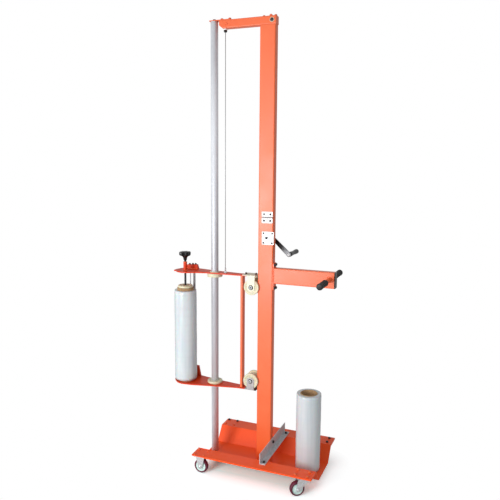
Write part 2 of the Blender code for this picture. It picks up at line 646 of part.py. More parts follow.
def build_handle():
    x0 = MAST_W / 2 + GAP
    plate = rounded_rect(0, HANDLE_Z - 0.004, 0.040, 0.138, 0.003, 2)
    arm = add("handle_arm", prism(plate, "x", x0, x0 + 0.005), ORANGE)
    out = rounded_rect(0, HANDLE_Z, HANDLE_D - 0.0008, HANDLE_H, 0.004)
    inn = rounded_rect(0, HANDLE_Z, HANDLE_D - 0.0058, HANDLE_H - 0.005, 0.002)
    join(arm, hollow_prism(out, inn, "x", x0 + 0.003, HANDLE_X1))
    cut(arm, rod(BAR_R + GAP, (BAR_X, HANDLE_Z + 0.003), "y", -0.05, 0.05, 24))
    cap = rounded_rect(0, HANDLE_Z, HANDLE_D - 0.001, HANDLE_H - 0.001, 0.004)
    add("handle_end_cap", prism(cap, "x", HANDLE_X1 + GAP, HANDLE_X1 + GAP + 0.0045), BLACK)
    z = HANDLE_Z + 0.003
    add("handle_bar", rod(BAR_R, (BAR_X, z), "y", -BAR_HALF, BAR_HALF, 24), ORANGE, smooth=True)
    for name, s in (("grip_front", -1), ("grip_rear", 1)):
        end = s * (BAR_HALF + 0.004)
        start = s * (BAR_HALF + 0.004 - GRIP_LEN)
        profile = [(0, end), (GRIP_R - 0.002, end), (GRIP_R, end - s * 0.002), (GRIP_R, start + s * 0.004),
                   (GRIP_R - 0.001, start), (BAR_R + GAP, start), (BAR_R + GAP, s * (BAR_HALF + GAP)),
                   (0, s * (BAR_HALF + GAP))]
        add(name, lathe(profile, (BAR_X, z), "y", 28), BLACK, smooth=True, rough=0.7)


def build_spare():
    c = (SPARE_X, SPARE_Y)
    z0 = TROUGH_FLOOR_TOP + GAP
    at = (SPARE_X, SPARE_Y, z0)
    core = ring(CORE_R, CORE_R - CORE_WALL, c, "z", z0, SPARE_Z1 + 0.002, 32)
    add("spare_core", core, CARDBOARD, origin=at, smooth=True)
    film = [(CORE_R + GAP, z0), (SPARE_R - 0.001, z0), (SPARE_R, z0 + 0.001), (SPARE_R, SPARE_Z1 - 0.001),
            (SPARE_R - 0.001, SPARE_Z1), (CORE_R + GAP, SPARE_Z1)]
    add("spare_film", lathe(film, c, "z", 40), FILM, origin=at, smooth=True, rough=0.25)


clear_scene()
rail_underside = build_base()
for caster_tag, caster_centre in CASTERS.items():
    build_caster(caster_tag, caster_centre, rail_underside)
build_mast()
build_winch()
build_carriage()
build_roll()
build_handle()
build_spare()
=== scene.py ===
"""Looks of the hand-pushed pallet wrapper: finishes for its frame, and modelled pieces for its turned parts,
grips, film and fasteners."""

import json
import math

import bmesh
import bpy
from mathutils import Matrix, Vector


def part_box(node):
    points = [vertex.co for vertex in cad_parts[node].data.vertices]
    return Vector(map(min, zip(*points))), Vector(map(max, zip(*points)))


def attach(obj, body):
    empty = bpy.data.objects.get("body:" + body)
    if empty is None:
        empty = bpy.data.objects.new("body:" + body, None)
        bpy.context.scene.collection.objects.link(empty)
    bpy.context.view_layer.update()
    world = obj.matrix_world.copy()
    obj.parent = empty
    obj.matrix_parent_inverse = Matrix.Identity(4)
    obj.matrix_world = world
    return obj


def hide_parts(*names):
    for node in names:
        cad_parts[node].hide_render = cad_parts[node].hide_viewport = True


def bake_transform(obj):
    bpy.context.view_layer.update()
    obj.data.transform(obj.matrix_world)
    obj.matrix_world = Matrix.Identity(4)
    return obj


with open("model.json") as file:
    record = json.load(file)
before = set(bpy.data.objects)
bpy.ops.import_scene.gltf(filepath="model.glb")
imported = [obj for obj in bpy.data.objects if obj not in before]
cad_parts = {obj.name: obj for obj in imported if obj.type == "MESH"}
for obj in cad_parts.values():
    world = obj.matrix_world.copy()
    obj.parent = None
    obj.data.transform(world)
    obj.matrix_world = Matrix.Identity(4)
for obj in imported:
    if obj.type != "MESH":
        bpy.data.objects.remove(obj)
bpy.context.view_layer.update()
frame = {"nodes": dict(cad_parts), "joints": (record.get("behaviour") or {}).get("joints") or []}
nodes = frame["nodes"]

TAU = 2 * math.pi
MM = 0.001
UP = (0, 0, 1)
DOWN = (0, 0, -1)
RIGHT = (1, 0, 0)
FRONT = (0, -1, 0)
BACK = (0, 1, 0)
FACES = (("front", -1), ("back", 1))
CASTERS = ("fl", "fr", "rl", "rr")


def low(part):
    return Vector(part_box(part)[0])


def high(part):
    return Vector(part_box(part)[1])


def size(part):
    return high(part) - low(part)


def middle(part):
    return (low(part) + high(part)) / 2


# -------------------------------------------- materials


def linear(hexed):
    """An sRGB hex colour as the linear RGBA that shader sockets take."""
    channels = [int(hexed[i:i + 2], 16) / 255 for i in (1, 3, 5)]
    return tuple(c / 12.92 if c <= 0.04045 else ((c + 0.055) / 1.055) ** 2.4 for c in channels) + (1.0,)


def plug(tree, value, socket):
    """Give a socket a number, a hex colour, another socket, or a node, which stands for its first output."""
    if isinstance(value, bpy.types.Node):
        value = next(output for output in value.outputs if output.enabled)
    if isinstance(value, bpy.types.NodeSocket):
        tree.links.new(value, socket)
    else:
        socket.default_value = linear(value) if isinstance(value, str) else value


def node(tree, kind, *in_order, **named):
    """Add a shader node. Unnamed values fill its sockets in order, a name with a capital letter is a socket,
    and any other name is a setting."""
    made = tree.nodes.new("ShaderNode" + kind)
    for key, value in named.items():
        if not key[0].isupper():
            setattr(made, key, value)
    for socket, value in zip([socket for socket in made.inputs if socket.enabled], in_order):
        plug(tree, value, socket)
    for key, value in named.items():
        if key[0].isupper():
            plug(tree, value, made.inputs[key])
    return made


def dress(tree, **results):
    """Plug colours, values and relief into the Principled shader."""
    shader = tree.nodes["Principled BSDF"]
    for key, value in results.items():
        plug(tree, value, shader.inputs[key.replace("_", " ")])


def finish_named(name, slot, metallic=0.0, roughness=0.5, **uniform):
    """A new material with its uniform values. The slot argument is not used."""
    made = bpy.data.materials.new(name)
    made.use_nodes = True
    dress(made.node_tree, Metallic=metallic, Roughness=roughness, **uniform)
    return made, made.node_tree


def here(tree):
    """Where a point is, in the object's own metres."""
    return node(tree, "TexCoord").outputs["Object"]


def speckle(tree, size_mm, detail=2.0, stretch=(1, 1, 1), rough=0.5):
    """Noise whose cells are about size_mm across."""
    scaled = node(tree, "Mapping", here(tree), Scale=stretch)
    return node(tree, "TexNoise", scaled, 1000 / size_mm, detail, rough)


def from_axis(tree, centre, across):
    """The distance from an axis through centre; across is 0 along the axis and 1 in the other directions."""
    offset = node(tree, "VectorMath", here(tree), tuple(centre), operation="SUBTRACT")
    flat = node(tree, "VectorMath", offset, across, operation="MULTIPLY")
    return node(tree, "VectorMath", flat, operation="LENGTH")


def from_point(tree, centre):
    return node(tree, "VectorMath", here(tree), tuple(centre), operation="DISTANCE")


def ripples(tree, distance, pitch):
    """A wave between -1 and 1 that repeats every pitch along a distance."""
    phase = node(tree, "Math", distance, TAU / pitch, operation="MULTIPLY")
    return node(tree, "Math", phase, operation="SINE")


def winding(tree, centre, pitch):
    """The angle about an upright axis, which gains a turn for every pitch of height."""
    offset = node(tree, "VectorMath", here(tree), tuple(centre), operation="SUBTRACT")
    part = node(tree, "SeparateXYZ", offset).outputs
    angle = node(tree, "Math", part["Y"], part["X"], operation="ARCTAN2")
    climb = node(tree, "Math", part["Z"], TAU / pitch, operation="MULTIPLY")
    return node(tree, "Math", angle, climb, operation="ADD")


def powder_coat(name, body_hex, pale_hex, coat=0.15, specular=0.5):
    """Polyester powder coat on steel, baked: an even satin skin with orange peel that breaks up highlights,
    a little paler in clouds where hands and film have dulled it, with small brownish scuffs."""
    made, tree = finish_named(name, "orange_powder_coat", roughness=0.38, Coat_Weight=coat,
                              Coat_Roughness=0.25, Specular_IOR_Level=specular)
    # Orange peel is about 0.8 mm across, and is drawn at 2.5 mm so that it shows.
    peel = speckle(tree, 2.5, 1.0)
    cloud = speckle(tree, 140, 3.0)
    scuff = speckle(tree, 9, 4.0, (1, 1, 0.35), 0.65)
    dulled_and_shaded = node(tree, "MapRange", cloud, 0.35, 0.70, 0.0, 0.35)
    colour = node(tree, "Mix", dulled_and_shaded, body_hex, pale_hex, data_type="RGBA")
    rubbed = node(tree, "MapRange", scuff, 0.66, 0.74, 0.0, 0.22)
    dress(tree, Base_Color=node(tree, "Mix", rubbed, colour, "#B4502F", data_type="RGBA"),
          Roughness=node(tree, "MapRange", cloud, 0.3, 0.7, 0.32, 0.46),
          Normal=node(tree, "Bump", Height=peel, Distance=0.05 * MM, Strength=0.35))
    return made


def drawn_steel(name, colour_hex, dark_hex, roughness, along=(1, 1, 0.02), line_mm=1.6, metallic=1.0,
                worn_and_shaded=None):
    """Bright steel drawn or brushed along its length: fine lines that stretch the highlight along the piece,
    with faint grey handling marks. An optional band makes it darker grey about a given height, out to a given
    reach: painted shade where the piece looks dimmer."""
    made, tree = finish_named(name, "bright_steel", metallic, roughness)
    # The lines are 0.1 to 0.2 mm apart on real steel, and are drawn line_mm apart so that they show.
    lines = speckle(tree, line_mm, 2.0, along)
    marks = node(tree, "MapRange", speckle(tree, 45, 3.0), 0.45, 0.75, 0.0, 0.6)
    colour = node(tree, "Mix", marks, colour_hex, dark_hex, data_type="RGBA")
    # Painted shade: the steel is mixed to a darker grey about the given height, fading out by the given
    # reach.
    if worn_and_shaded:
        height = node(tree, "SeparateXYZ", here(tree)).outputs["Z"]
        above = node(tree, "Math", height, worn_and_shaded[0], operation="SUBTRACT")
        away = node(tree, "Math", above, operation="ABSOLUTE")
        dulled_and_shaded = node(tree, "MapRange", away, 0.15, worn_and_shaded[1], 1.0, 0.0)
        colour = node(tree, "Mix", dulled_and_shaded, colour, "#C4C5CB", data_type="RGBA")
    dress(tree, Base_Color=colour,
          Roughness=node(tree, "MapRange", lines, 0.3, 0.7, roughness - 0.06, roughness + 0.10),
          Normal=node(tree, "Bump", Height=lines, Distance=0.02 * MM, Strength=0.3))
    return made


def zinc_plate():
    """Bright zinc plating on pressed steel: pale, slightly cloudy, with a faint straw tint in patches."""
    made, tree = finish_named("zinc_plated_steel", "zinc_plate", 0.6, 0.30)
    cloud = speckle(tree, 12, 3.0)
    tint = node(tree, "MapRange", cloud, 0.4, 0.7, 0.0, 0.7)
    dress(tree, Base_Color=node(tree, "Mix", tint, "#DDE0E4", "#C3C2BC", data_type="RGBA"),
          Roughness=node(tree, "MapRange", cloud, 0.3, 0.7, 0.24, 0.44),
          Normal=node(tree, "Bump", Height=speckle(tree, 1.5), Distance=0.02 * MM, Strength=0.3))
    return made


def galvanised():
    """Hot-dip galvanised angle: flat grey zinc crystals about 9 mm across, each at its own shade."""
    made, tree = finish_named("hot_dip_galvanised_steel", "zinc_plate", 0.2, 0.5)
    crystals = node(tree, "TexVoronoi", here(tree), 1000 / 9)
    shade = node(tree, "SeparateColor", crystals.outputs["Color"]).outputs["Red"]
    dress(tree, Base_Color=node(tree, "Mix", shade, "#B9BBBF", "#D0D1D4", data_type="RGBA"),
          Roughness=node(tree, "MapRange", shade, 0.0, 1.0, 0.38, 0.58),
          Normal=node(tree, "Bump", Height=speckle(tree, 4), Distance=0.05 * MM, Strength=0.3))
    return made


def turned_nylon(name, centre, across, pale="#DDD6B8"):
    """Natural cast nylon turned on a lathe: creamy and slightly see-through at thin edges, with fine tool
    rings about its own axis and a little grey dirt."""
    made, tree = finish_named(name, "nylon", roughness=0.42, IOR=1.53, Subsurface_Weight=0.15,
                              Subsurface_Scale=0.004)
    # Tool rings are 0.3 mm apart on the real piece and are drawn every 1.5 mm so that they show.
    rings = ripples(tree, from_axis(tree, centre, across), 1.5 * MM)
    dirt = node(tree, "MapRange", speckle(tree, 14, 4.0, rough=0.6), 0.50, 0.75, 0.0, 0.55)
    dress(tree, Base_Color=node(tree, "Mix", dirt, pale, "#B9AF8C", data_type="RGBA"),
          Normal=node(tree, "Bump", Height=rings, Distance=0.03 * MM, Strength=0.4))
    return made


def black_moulding(name, slot, colour_hex, roughness, grain_mm, depth_mm, specular=0.5):
    """Black moulded plastic, rubber or oxide with a fine grain that keeps its highlights broad and grey."""
    made, tree = finish_named(name, slot, roughness=roughness, Specular_IOR_Level=specular)
    grain = speckle(tree, grain_mm, 2.0)
    dust = node(tree, "MapRange", speckle(tree, 20, 3.0), 0.5, 0.8, 0.0, 0.5)
    dress(tree, Base_Color=node(tree, "Mix", dust, colour_hex, "#2B2B2D", data_type="RGBA"),
          Roughness=node(tree, "MapRange", grain, 0.3, 0.7, roughness - 0.08, roughness + 0.08),
          Normal=node(tree, "Bump", Height=grain, Distance=depth_mm * MM, Strength=0.5))
    return made


def crank_steel(pivot):
    """Black oxide on a forged crank arm, rubbed down to grey steel towards its handle end."""
    made, tree = finish_named("black_oxide_crank_steel", "black_steel", 0.6, 0.45)
    worn_and_shaded = node(tree, "MapRange", from_point(tree, pivot), 0.016, 0.055, 1.0, 0.0)
    uneven = node(tree, "MapRange", speckle(tree, 10, 4.0), 0.3, 0.7, -0.2, 0.2)
    patch = node(tree, "Math", worn_and_shaded, uneven, operation="ADD", use_clamp=True)
    dress(tree, Base_Color=node(tree, "Mix", patch, "#141415", "#6C6D70", data_type="RGBA"),
          Normal=node(tree, "Bump", Height=speckle(tree, 2.0), Distance=0.04 * MM, Strength=0.4))
    return made


def wound_film(name, centre):
    """Clear polyethylene stretch film wound on a roll: a pale blue-grey, glossy skin with soft vertical
    tension bands and a few hoop lines on its face, and fine layer rings on its ends."""
    made, tree = finish_named(name, "stretch_film", roughness=0.2, IOR=1.5, Subsurface_Weight=0.25,
                              Subsurface_Scale=0.01, Coat_Weight=0.4, Coat_Roughness=0.08)
    bands = node(tree, "MapRange", speckle(tree, 26, 2.0, (1, 1, 0.06)), 0.35, 0.7, 0.0, 1.0)
    hoops = speckle(tree, 18, 3.0, (0.05, 0.05, 1))
    colour = node(tree, "Mix", bands, "#D6DDE0", "#C6CFD4", data_type="RGBA")
    lines = node(tree, "MapRange", hoops, 0.45, 0.75, 0.0, 0.3)
    colour = node(tree, "Mix", lines, colour, "#C4CDD2", data_type="RGBA")
    # Single layers are 0.02 mm thick; the end's rings are drawn every 1.2 mm so that they show.
    layers = ripples(tree, from_axis(tree, centre, (1, 1, 0)), 1.2 * MM)
    upward = node(tree, "SeparateXYZ", node(tree, "NewGeometry").outputs["Normal"]).outputs["Z"]
    end = node(tree, "MapRange", node(tree, "Math", upward, operation="ABSOLUTE"), 0.8, 0.95, 0.0, 1.0)
    shade = node(tree, "MapRange", layers, -1.0, 1.0, 0.0, 0.5)
    ringed = node(tree, "Math", end, shade, operation="MULTIPLY")
    dress(tree, Base_Color=node(tree, "Mix", ringed, colour, "#A9B5BC", data_type="RGBA"),
          Normal=node(tree, "Bump", Height=hoops, Distance=0.08 * MM, Strength=0.2))
    return made


def wound_board(name, centre):
    """Spiral-wound kraft board core: warm tan paper with fine fibres, and a slanted lap line that climbs
    110 mm a turn."""
    made, tree = finish_named(name, "cardboard", roughness=0.85)
    turns = node(tree, "Math", winding(tree, centre, 110 * MM), 1 / TAU, operation="MULTIPLY")
    lap = node(tree, "Math", turns, operation="FRACT")
    seam = node(tree, "MapRange", lap, 0.0, 0.04, 0.6, 0.0)
    fibre = speckle(tree, 3, 4.0, (1, 1, 0.3), 0.65)
    streaks = node(tree, "MapRange", fibre, 0.35, 0.7, 0.0, 1.0)
    colour = node(tree, "Mix", streaks, "#B8966F", "#9C7B55", data_type="RGBA")
    dress(tree, Base_Color=node(tree, "Mix", seam, colour, "#7A5C3E", data_type="RGBA"),
          Normal=node(tree, "Bump", Height=fibre, Distance=0.05 * MM, Strength=0.5))
    return made


def wheel_finish(tag, centre):
    """Cast polyurethane tread on a moulded nylon hub: a dull maroon rim round a pale mint-white centre."""
    made, tree = finish_named(f"polyurethane_wheel_{tag}", "caster_tread")
    rim = node(tree, "MapRange", from_point(tree, centre), 0.0290, 0.0296, 0.0, 1.0)
    scuff = speckle(tree, 8, 4.0, rough=0.65)
    tread = node(tree, "Mix", node(tree, "MapRange", scuff, 0.4, 0.7, 0.0, 0.7), "#55142C", "#7A3049",
                 data_type="RGBA")
    hub = node(tree, "Mix", node(tree, "MapRange", scuff, 0.45, 0.75, 0.0, 0.5), "#D2ECE6", "#A9BDB9",
               data_type="RGBA")
    dress(tree, Base_Color=node(tree, "Mix", rim, hub, tread, data_type="RGBA"),
          Roughness=node(tree, "MapRange", scuff, 0.3, 0.7, 0.4, 0.62),
          Normal=node(tree, "Bump", Height=scuff, Distance=0.1 * MM, Strength=0.3))
    return made


def wire_rope(centre):
    """Galvanised steel wire rope, 3 mm: six strands that wind round every 20 mm, as slanted bands painted
    darker in the grooves and paler on the crowns: painted shade and highlight.
    """
    made, tree = finish_named("galvanised_wire_rope", "bright_steel", 0.9, 0.42)
    strands = node(tree, "Math", winding(tree, centre, 20 * MM), 6.0, operation="MULTIPLY")
    wave = node(tree, "Math", strands, operation="SINE")
    # Painted shade and highlight: the colour follows the strands' relief, darker in the grooves between
    # strands and paler on their crowns.
    light = node(tree, "MapRange", wave, -1.0, 1.0, 0.0, 1.0)
    dress(tree, Base_Color=node(tree, "Mix", light, "#85878A", "#A9ABAE", data_type="RGBA"),
          Normal=node(tree, "Bump", Height=wave, Distance=0.15 * MM, Strength=0.6))
    return made


ABOUT_Y = (1, 0, 1)
ABOUT_Z = (1, 1, 0)
BRUSHED = (1, 1, 0.05)

orange_coat = powder_coat("orange_powder_coat", "#EE6530", "#F27945")
# The tray and rails wear the same orange coat as the mast. This deeper, redder copy is painted shade: it
# stands in for the shade on their flat faces and the red light thrown between the tray's walls.
tray_shaded_coat = powder_coat("tray_powder_coat_painted_shade", "#FA551C", "#FC642F", 0.0, 0.30)
# The arms and brackets also wear the mast's orange coat. This darker red copy is painted shade, for their
# faces that the lamps reach less.
arm_shaded_coat = powder_coat("arm_powder_coat_painted_shade", "#D63A10", "#DC4A20", 0.0, 0.25)
# The guide tube is painted darker grey about 1.0 m high, fading out over 0.75 m: painted shade where the tube
# looks dimmer.
bright_tube = drawn_steel("bright_drawn_steel", "#EEF1F7", "#E1E4EB", 0.50, metallic=0.50, worn_and_shaded=(1.00, 0.75))
brushed_plate = drawn_steel("brushed_aluminium_plate", "#D6D5D4", "#C4C3C3", 0.45, BRUSHED, 1.2, 0.25)
pale_strap = drawn_steel("pale_fork_strap", "#D9D5C0", "#C8C3AC", 0.45, BRUSHED, 1.5, 0.15)
dull_roller = drawn_steel("dull_roller_steel", "#98979A", "#7F7D82", 0.42, metallic=0.6)
pressed_steel = drawn_steel("pressed_steel", "#B4AFB0", "#938E90", 0.42, (0.2, 1, 1), 2.0, 0.5)
worn_fastener = drawn_steel("worn_grey_fastener", "#7A797C", "#57565A", 0.42, (1, 1, 1), 1.5, 0.5)
zinc = zinc_plate()
galvanised_angle = galvanised()
black_plastic = black_moulding("black_moulded_plastic", "black_plastic", "#0A0A0B", 0.19, 1.2, 0.02, 0.35)
black_rubber = black_moulding("black_ribbed_rubber", "black_rubber", "#0F0F10", 0.50, 1.5, 0.06, 0.4)
dark_fastener = black_moulding("black_oxide_fastener", "black_steel", "#26262A", 0.36, 1.0, 0.02)
rusty_fastener = black_moulding("rust_brown_fastener", "black_steel", "#4B2620", 0.50, 1.2, 0.04)


# -------------------------------------------- shapes

def wear(material, *names):
    for name in names:
        nodes[name].data.materials.clear()
        nodes[name].data.materials.append(material)


def ease(obj, width, segments=2):
    """Round the sharp edges a little, so that they catch a highlight, and keep the flats flat."""
    rounder = obj.modifiers.new("eased_edges", "BEVEL")
    rounder.width = width
    rounder.segments = segments
    rounder.limit_method = "ANGLE"
    rounder.angle_limit = math.radians(28)
    shading = obj.modifiers.new("flat_faces", "WEIGHTED_NORMAL")
    shading.keep_sharp = False


def new_piece(name, bm, material, body, edge=0.0, hides=()):
    """Make a mesh object with its finish and eased edges, riding on a body in place of the hidden nodes."""
    bmesh.ops.recalc_face_normals(bm, faces=bm.faces)
    mesh = bpy.data.meshes.new(name)
    bm.to_mesh(mesh)
    bm.free()
    for face in mesh.polygons:
        face.use_smooth = True
    obj = bpy.data.objects.new(name, mesh)
    bpy.context.scene.collection.objects.link(obj)
    mesh.materials.append(material)
    if edge:
        ease(obj, edge)
    if body:
        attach(obj, body)
    if hides:
        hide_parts(*hides)
    return obj


def standing(at, axis):
    """The placing that carries the origin to a point and +Z to an axis."""
    turn = Vector((0, 0, 1)).rotation_difference(Vector(axis)).to_matrix().to_4x4()
    return Matrix.Translation(Vector(at)) @ turn


def bridge(bm, first, second):
    """A band of faces between two loops with equally many points."""
    for i in range(len(first)):
        j = (i + 1) % len(first)
        bm.faces.new((first[i], first[j], second[j], second[i]))


def lathe_into(bm, profile, at, axis, segments, ring=False):
    """Turn (radius, height) points about an axis from a point. A ring's profile closes on itself."""
    place = standing(at, axis)
    loops = []
    for radius, height in profile:
        angles = [TAU * i / segments for i in range(segments)] if radius > 0 else [0.0]
        loops.append([bm.verts.new(place @ Vector((radius * math.cos(a), radius * math.sin(a), height)))
                      for a in angles])
    for first, second in zip(loops, loops[1:] + (loops[:1] if ring else [])):
        for point, loop in ((first[0], second), (second[0], first)):
            if len(first) != len(second) and len(loop) > 1:
                for i in range(segments):
                    bm.faces.new((point, loop[i], loop[(i + 1) % segments]))
        if len(first) == len(second) > 1:
            bridge(bm, first, second)


def turned(name, profile, at, axis, material, body, segments=96, ring=False, hides=()):
    bm = bmesh.new()
    lathe_into(bm, profile, at, axis, segments, ring)
    return new_piece(name, bm, material, body, hides=hides)


def mirrored(profile):
    """A profile carried on through its mirror image about height 0."""
    return profile + [(radius, -height) for radius, height in reversed(profile)]


def hexagon_into(bm, at, axis, across, thick, stud=0.0, washer=0.0):
    """A hex head or nut with chamfered corners on a washer, and the end of its stud if it is a nut."""
    place = standing(at, axis)
    corner = across / math.sqrt(3)
    seat = 1.2 * MM if washer else 0.0
    if washer:
        lathe_into(bm, [(0, 0), (washer, 0), (washer, seat * 0.8), (washer - 0.0004, seat), (0, seat)],
                   at, axis, 24)
    rings = []
    for height, radius in ((seat, corner), (seat + thick * 0.82, corner), (seat + thick, across * 0.47)):
        loop = []
        for i in range(24):
            a = TAU * i / 24
            flat = (across / 2) / math.cos((a + TAU / 12) % (TAU / 6) - TAU / 12)
            reach = min(radius, flat)
            loop.append(bm.verts.new(place @ Vector((reach * math.cos(a), reach * math.sin(a), height))))
        rings.append(loop)
    bm.faces.new(rings[0])
    bm.faces.new(rings[-1])
    bridge(bm, rings[0], rings[1])
    bridge(bm, rings[1], rings[2])
    if stud:
        r = across * 0.29
        top = seat + thick
        tip = top + stud
        lathe_into(bm, [(0, top), (r, top), (r, tip - 0.0006), (r - 0.0006, tip), (0, tip)], at, axis, 20)


def hex_set(name, places, axis, across, thick, material, body, stud=0.0, washer=0.0):
    """Each fastener is a piece of its own."""
    for i, at in enumerate(places):
        bm = bmesh.new()
        hexagon_into(bm, at, axis, across, thick, stud, washer)
        new_piece(f"{name}_{i + 1}", bm, material, body)


def screw_set(name, places, axis, head, material, body):
    """Pan-head screws with a domed top and a round recess."""
    h = head * 0.45
    profile = [(0, 0), (head, 0), (head, h * 0.4), (head * 0.86, h * 0.82), (head * 0.55, h),
               (head * 0.42, h), (head * 0.40, h * 0.45), (0, h * 0.45)]
    for i, at in enumerate(places):
        turned(f"{name}_{i + 1}", profile, at, axis, material, body, 32)


def helix_into(bm, at, radius, depth, pitch, start, end, steps_per_turn=24):
    """A 60-degree thread ridge wound round a vertical rod, from start to end."""
    count = int((end - start) / pitch * steps_per_turn)
    previous = None
    for i in range(count + 1):
        a = TAU * i / steps_per_turn
        z = start + pitch * i / steps_per_turn
        fade = min(1.0, i / 8, (count - i) / 8)
        root = radius - depth * 0.6
        ridge = [(root, -pitch * 0.42), (radius + depth * fade, 0.0), (root, pitch * 0.42)]
        points = [bm.verts.new((at.x + r * math.cos(a), at.y + r * math.sin(a), z + dz)) for r, dz in ridge]
        if previous:
            bridge(bm, previous, points)
        else:
            bm.faces.new(points)
        previous = points
    bm.faces.new(previous)


def box_into(bm, a, b):
    corners = [(x, y, z) for x in (a[0], b[0]) for y in (a[1], b[1]) for z in (a[2], b[2])]
    verts = [bm.verts.new(c) for c in corners]
    for face in ((0, 1, 3, 2), (4, 6, 7, 5), (0, 4, 5, 1), (2, 3, 7, 6), (0, 2, 6, 4), (1, 5, 7, 3)):
        bm.faces.new([verts[i] for i in face])


def end_plate_into(bm, x, thick, half_width, z0, z1, corner, steps=6):
    """A plate with round corners, standing across the X axis."""
    y = half_width - corner
    outline = []
    for centre_y, centre_z, start in ((y, z1 - corner, 0), (-y, z1 - corner, 90), (-y, z0 + corner, 180),
                                      (y, z0 + corner, 270)):
        for i in range(steps + 1):
            a = math.radians(start + 90 * i / steps)
            outline.append((centre_y + corner * math.cos(a), centre_z + corner * math.sin(a)))
    inner = [bm.verts.new((x, y, z)) for y, z in outline]
    outer = [bm.verts.new((x + thick, y, z)) for y, z in outline]
    bm.faces.new(inner)
    bm.faces.new(outer)
    bridge(bm, inner, outer)


def weld_bead(name, a, b, radius, body):
    """A row of overlapping ripples along a joint, as a hand weld leaves under the paint."""
    a, b = Vector(a), Vector(b)
    length = (b - a).length
    count = max(4, int(length / (2.2 * MM))) * 4
    profile = [(0, 0)]
    for i in range(count + 1):
        swell = 1.0 + 0.16 * math.cos(TAU * i / 4)
        ends = min(1.0, 0.45 + i / 6, 0.45 + (count - i) / 6)
        profile.append((radius * swell * ends, length * i / count))
    profile.append((0, length))
    turned(name, profile, a, (b - a).normalized(), orange_coat, body, 12)


# -------------------------------------------- finishes on the frame's own nodes

wear(orange_coat, "mast_lower", "mast_upper", "top_boom", "carriage_post", "handle_arm", "handle_bar")
wear(tray_shaded_coat, "base_tray", "front_rail", "rear_rail")
wear(arm_shaded_coat, "bottom_arm", "top_arm", "top_bracket", "bottom_bracket")
wear(bright_tube, "guide_tube", "guide_rod")
wear(dull_roller, "tension_roller")
wear(brushed_plate, "winch_plate", "hinge_upper_leaf", "hinge_lower_leaf", "hinge_pin", "winch_drum")
wear(pale_strap, "upper_fork")
wear(pressed_steel, "lower_fork")
wear(zinc, *[f"caster_{part}_{tag}" for part in ("plate", "fork") for tag in CASTERS])
wear(galvanised_angle, "angle_brace")
wear(black_plastic, "handle_end_cap")
wear(worn_fastener, "upper_axle", "lower_axle")
for name in ("mast_pulley", "boom_pulley"):
    wear(turned_nylon(f"nylon_{name}", middle(name), ABOUT_Y), name)
# The cable guide is cream nylon. It is painted near-white here to stand in for the light it lacks in the
# boom's shade: painted light.
wear(turned_nylon("nylon_cable_guide_painted_light", middle("cable_guide"), ABOUT_Z, "#F6F4EC"), "cable_guide")
rope_steel = wire_rope(middle("cable_drop"))
wear(rope_steel, "cable_run")
pivot = middle("crank_grip")
wear(crank_steel((pivot.x, middle("crank_arm").y, pivot.z)), "crank_arm")

for name in ("base_tray", "front_rail", "rear_rail", "bottom_arm", "top_arm", "top_bracket", "winch_plate",
             "angle_brace", "handle_arm", "upper_fork", "lower_fork", "handle_end_cap"):
    ease(nodes[name], 0.6 * MM, 1)


# -------------------------------------------- film rolls and their hubs

def rolled_film(name, hidden, body, seed):
    """A wound roll: its face swells and dips by a fraction of a millimetre, and its edges are uneven."""
    bottom, top, centre = low(hidden).z, high(hidden).z, middle(hidden)
    radius = size(hidden).x / 2
    inner = 0.0444
    profile = [(inner, bottom), (inner + 0.004, bottom - 0.0001)]
    steps = 36
    for i in range(steps + 1):
        t = i / steps
        wander = 0.00025 * math.sin(t * 17 + seed) + 0.00018 * math.sin(t * 43 + seed * 2)
        edge = 0.0012 if i in (0, steps) else 0
        profile.append((radius - 0.0004 + wander - edge, bottom + (top - bottom) * t))
    for i in range(1, 6):
        reach = radius - 0.0012 - (radius - inner) * i / 6
        profile.append((reach, top - 0.0003 * (i % 2)))
    profile.append((inner, top))
    finish = wound_film(f"polyethylene_film_{name}", centre)
    turned(name, profile, (centre.x, centre.y, 0), UP, finish, body, 128, ring=True, hides=(hidden,))


def board_core(name, hidden, body):
    """A board tube with its cut ends slightly rounded."""
    bottom, top, centre = low(hidden).z, high(hidden).z, middle(hidden)
    outer = size(hidden).x / 2
    inner = outer - 0.005
    profile = [(inner, bottom), (outer, bottom), (outer, top - 0.0006), (outer - 0.0006, top),
               (inner + 0.0006, top), (inner, top - 0.0006)]
    finish = wound_board(f"kraft_board_{name}", centre)
    turned(name, profile, (centre.x, centre.y, 0), UP, finish, body, 128, ring=True, hides=(hidden,))


rolled_film("mounted_film", "film_roll", "film", 0.4)
rolled_film("spare_roll_film", "spare_film", "spare_roll", 2.1)
board_core("mounted_core", "film_core", "film")
board_core("spare_roll_core", "spare_core", "spare_roll")

roll = middle("film_roll")
roll_axis = (roll.x, roll.y, 0)
hub_low, hub_high, hub_seat = low("top_hub").z, high("top_hub").z, high("film_core").z
profile = [(0, hub_low), (0.0355, hub_low), (0.0380, hub_seat - 0.002), (0.0380, hub_seat + 0.0003),
           (0.0400, hub_seat + 0.0003), (0.0405, hub_seat + 0.0010), (0.0405, hub_seat + 0.0085),
           (0.0395, hub_seat + 0.0100), (0.0365, hub_high), (0.0300, hub_high), (0.0285, hub_high - 0.0022),
           (0.0185, hub_high - 0.0022), (0.0165, hub_high), (0.0150, hub_high), (0.0140, hub_high - 0.0020),
           (0, hub_high - 0.0020)]
turned("top_core_hub", profile, roll_axis, UP, turned_nylon("nylon_top_hub", roll, ABOUT_Z), "clamp_hub",
       hides=("top_hub",))
foot, hub_top, film_low = low("bottom_hub").z, high("bottom_hub").z, low("film_roll").z
seat = foot + 0.0083
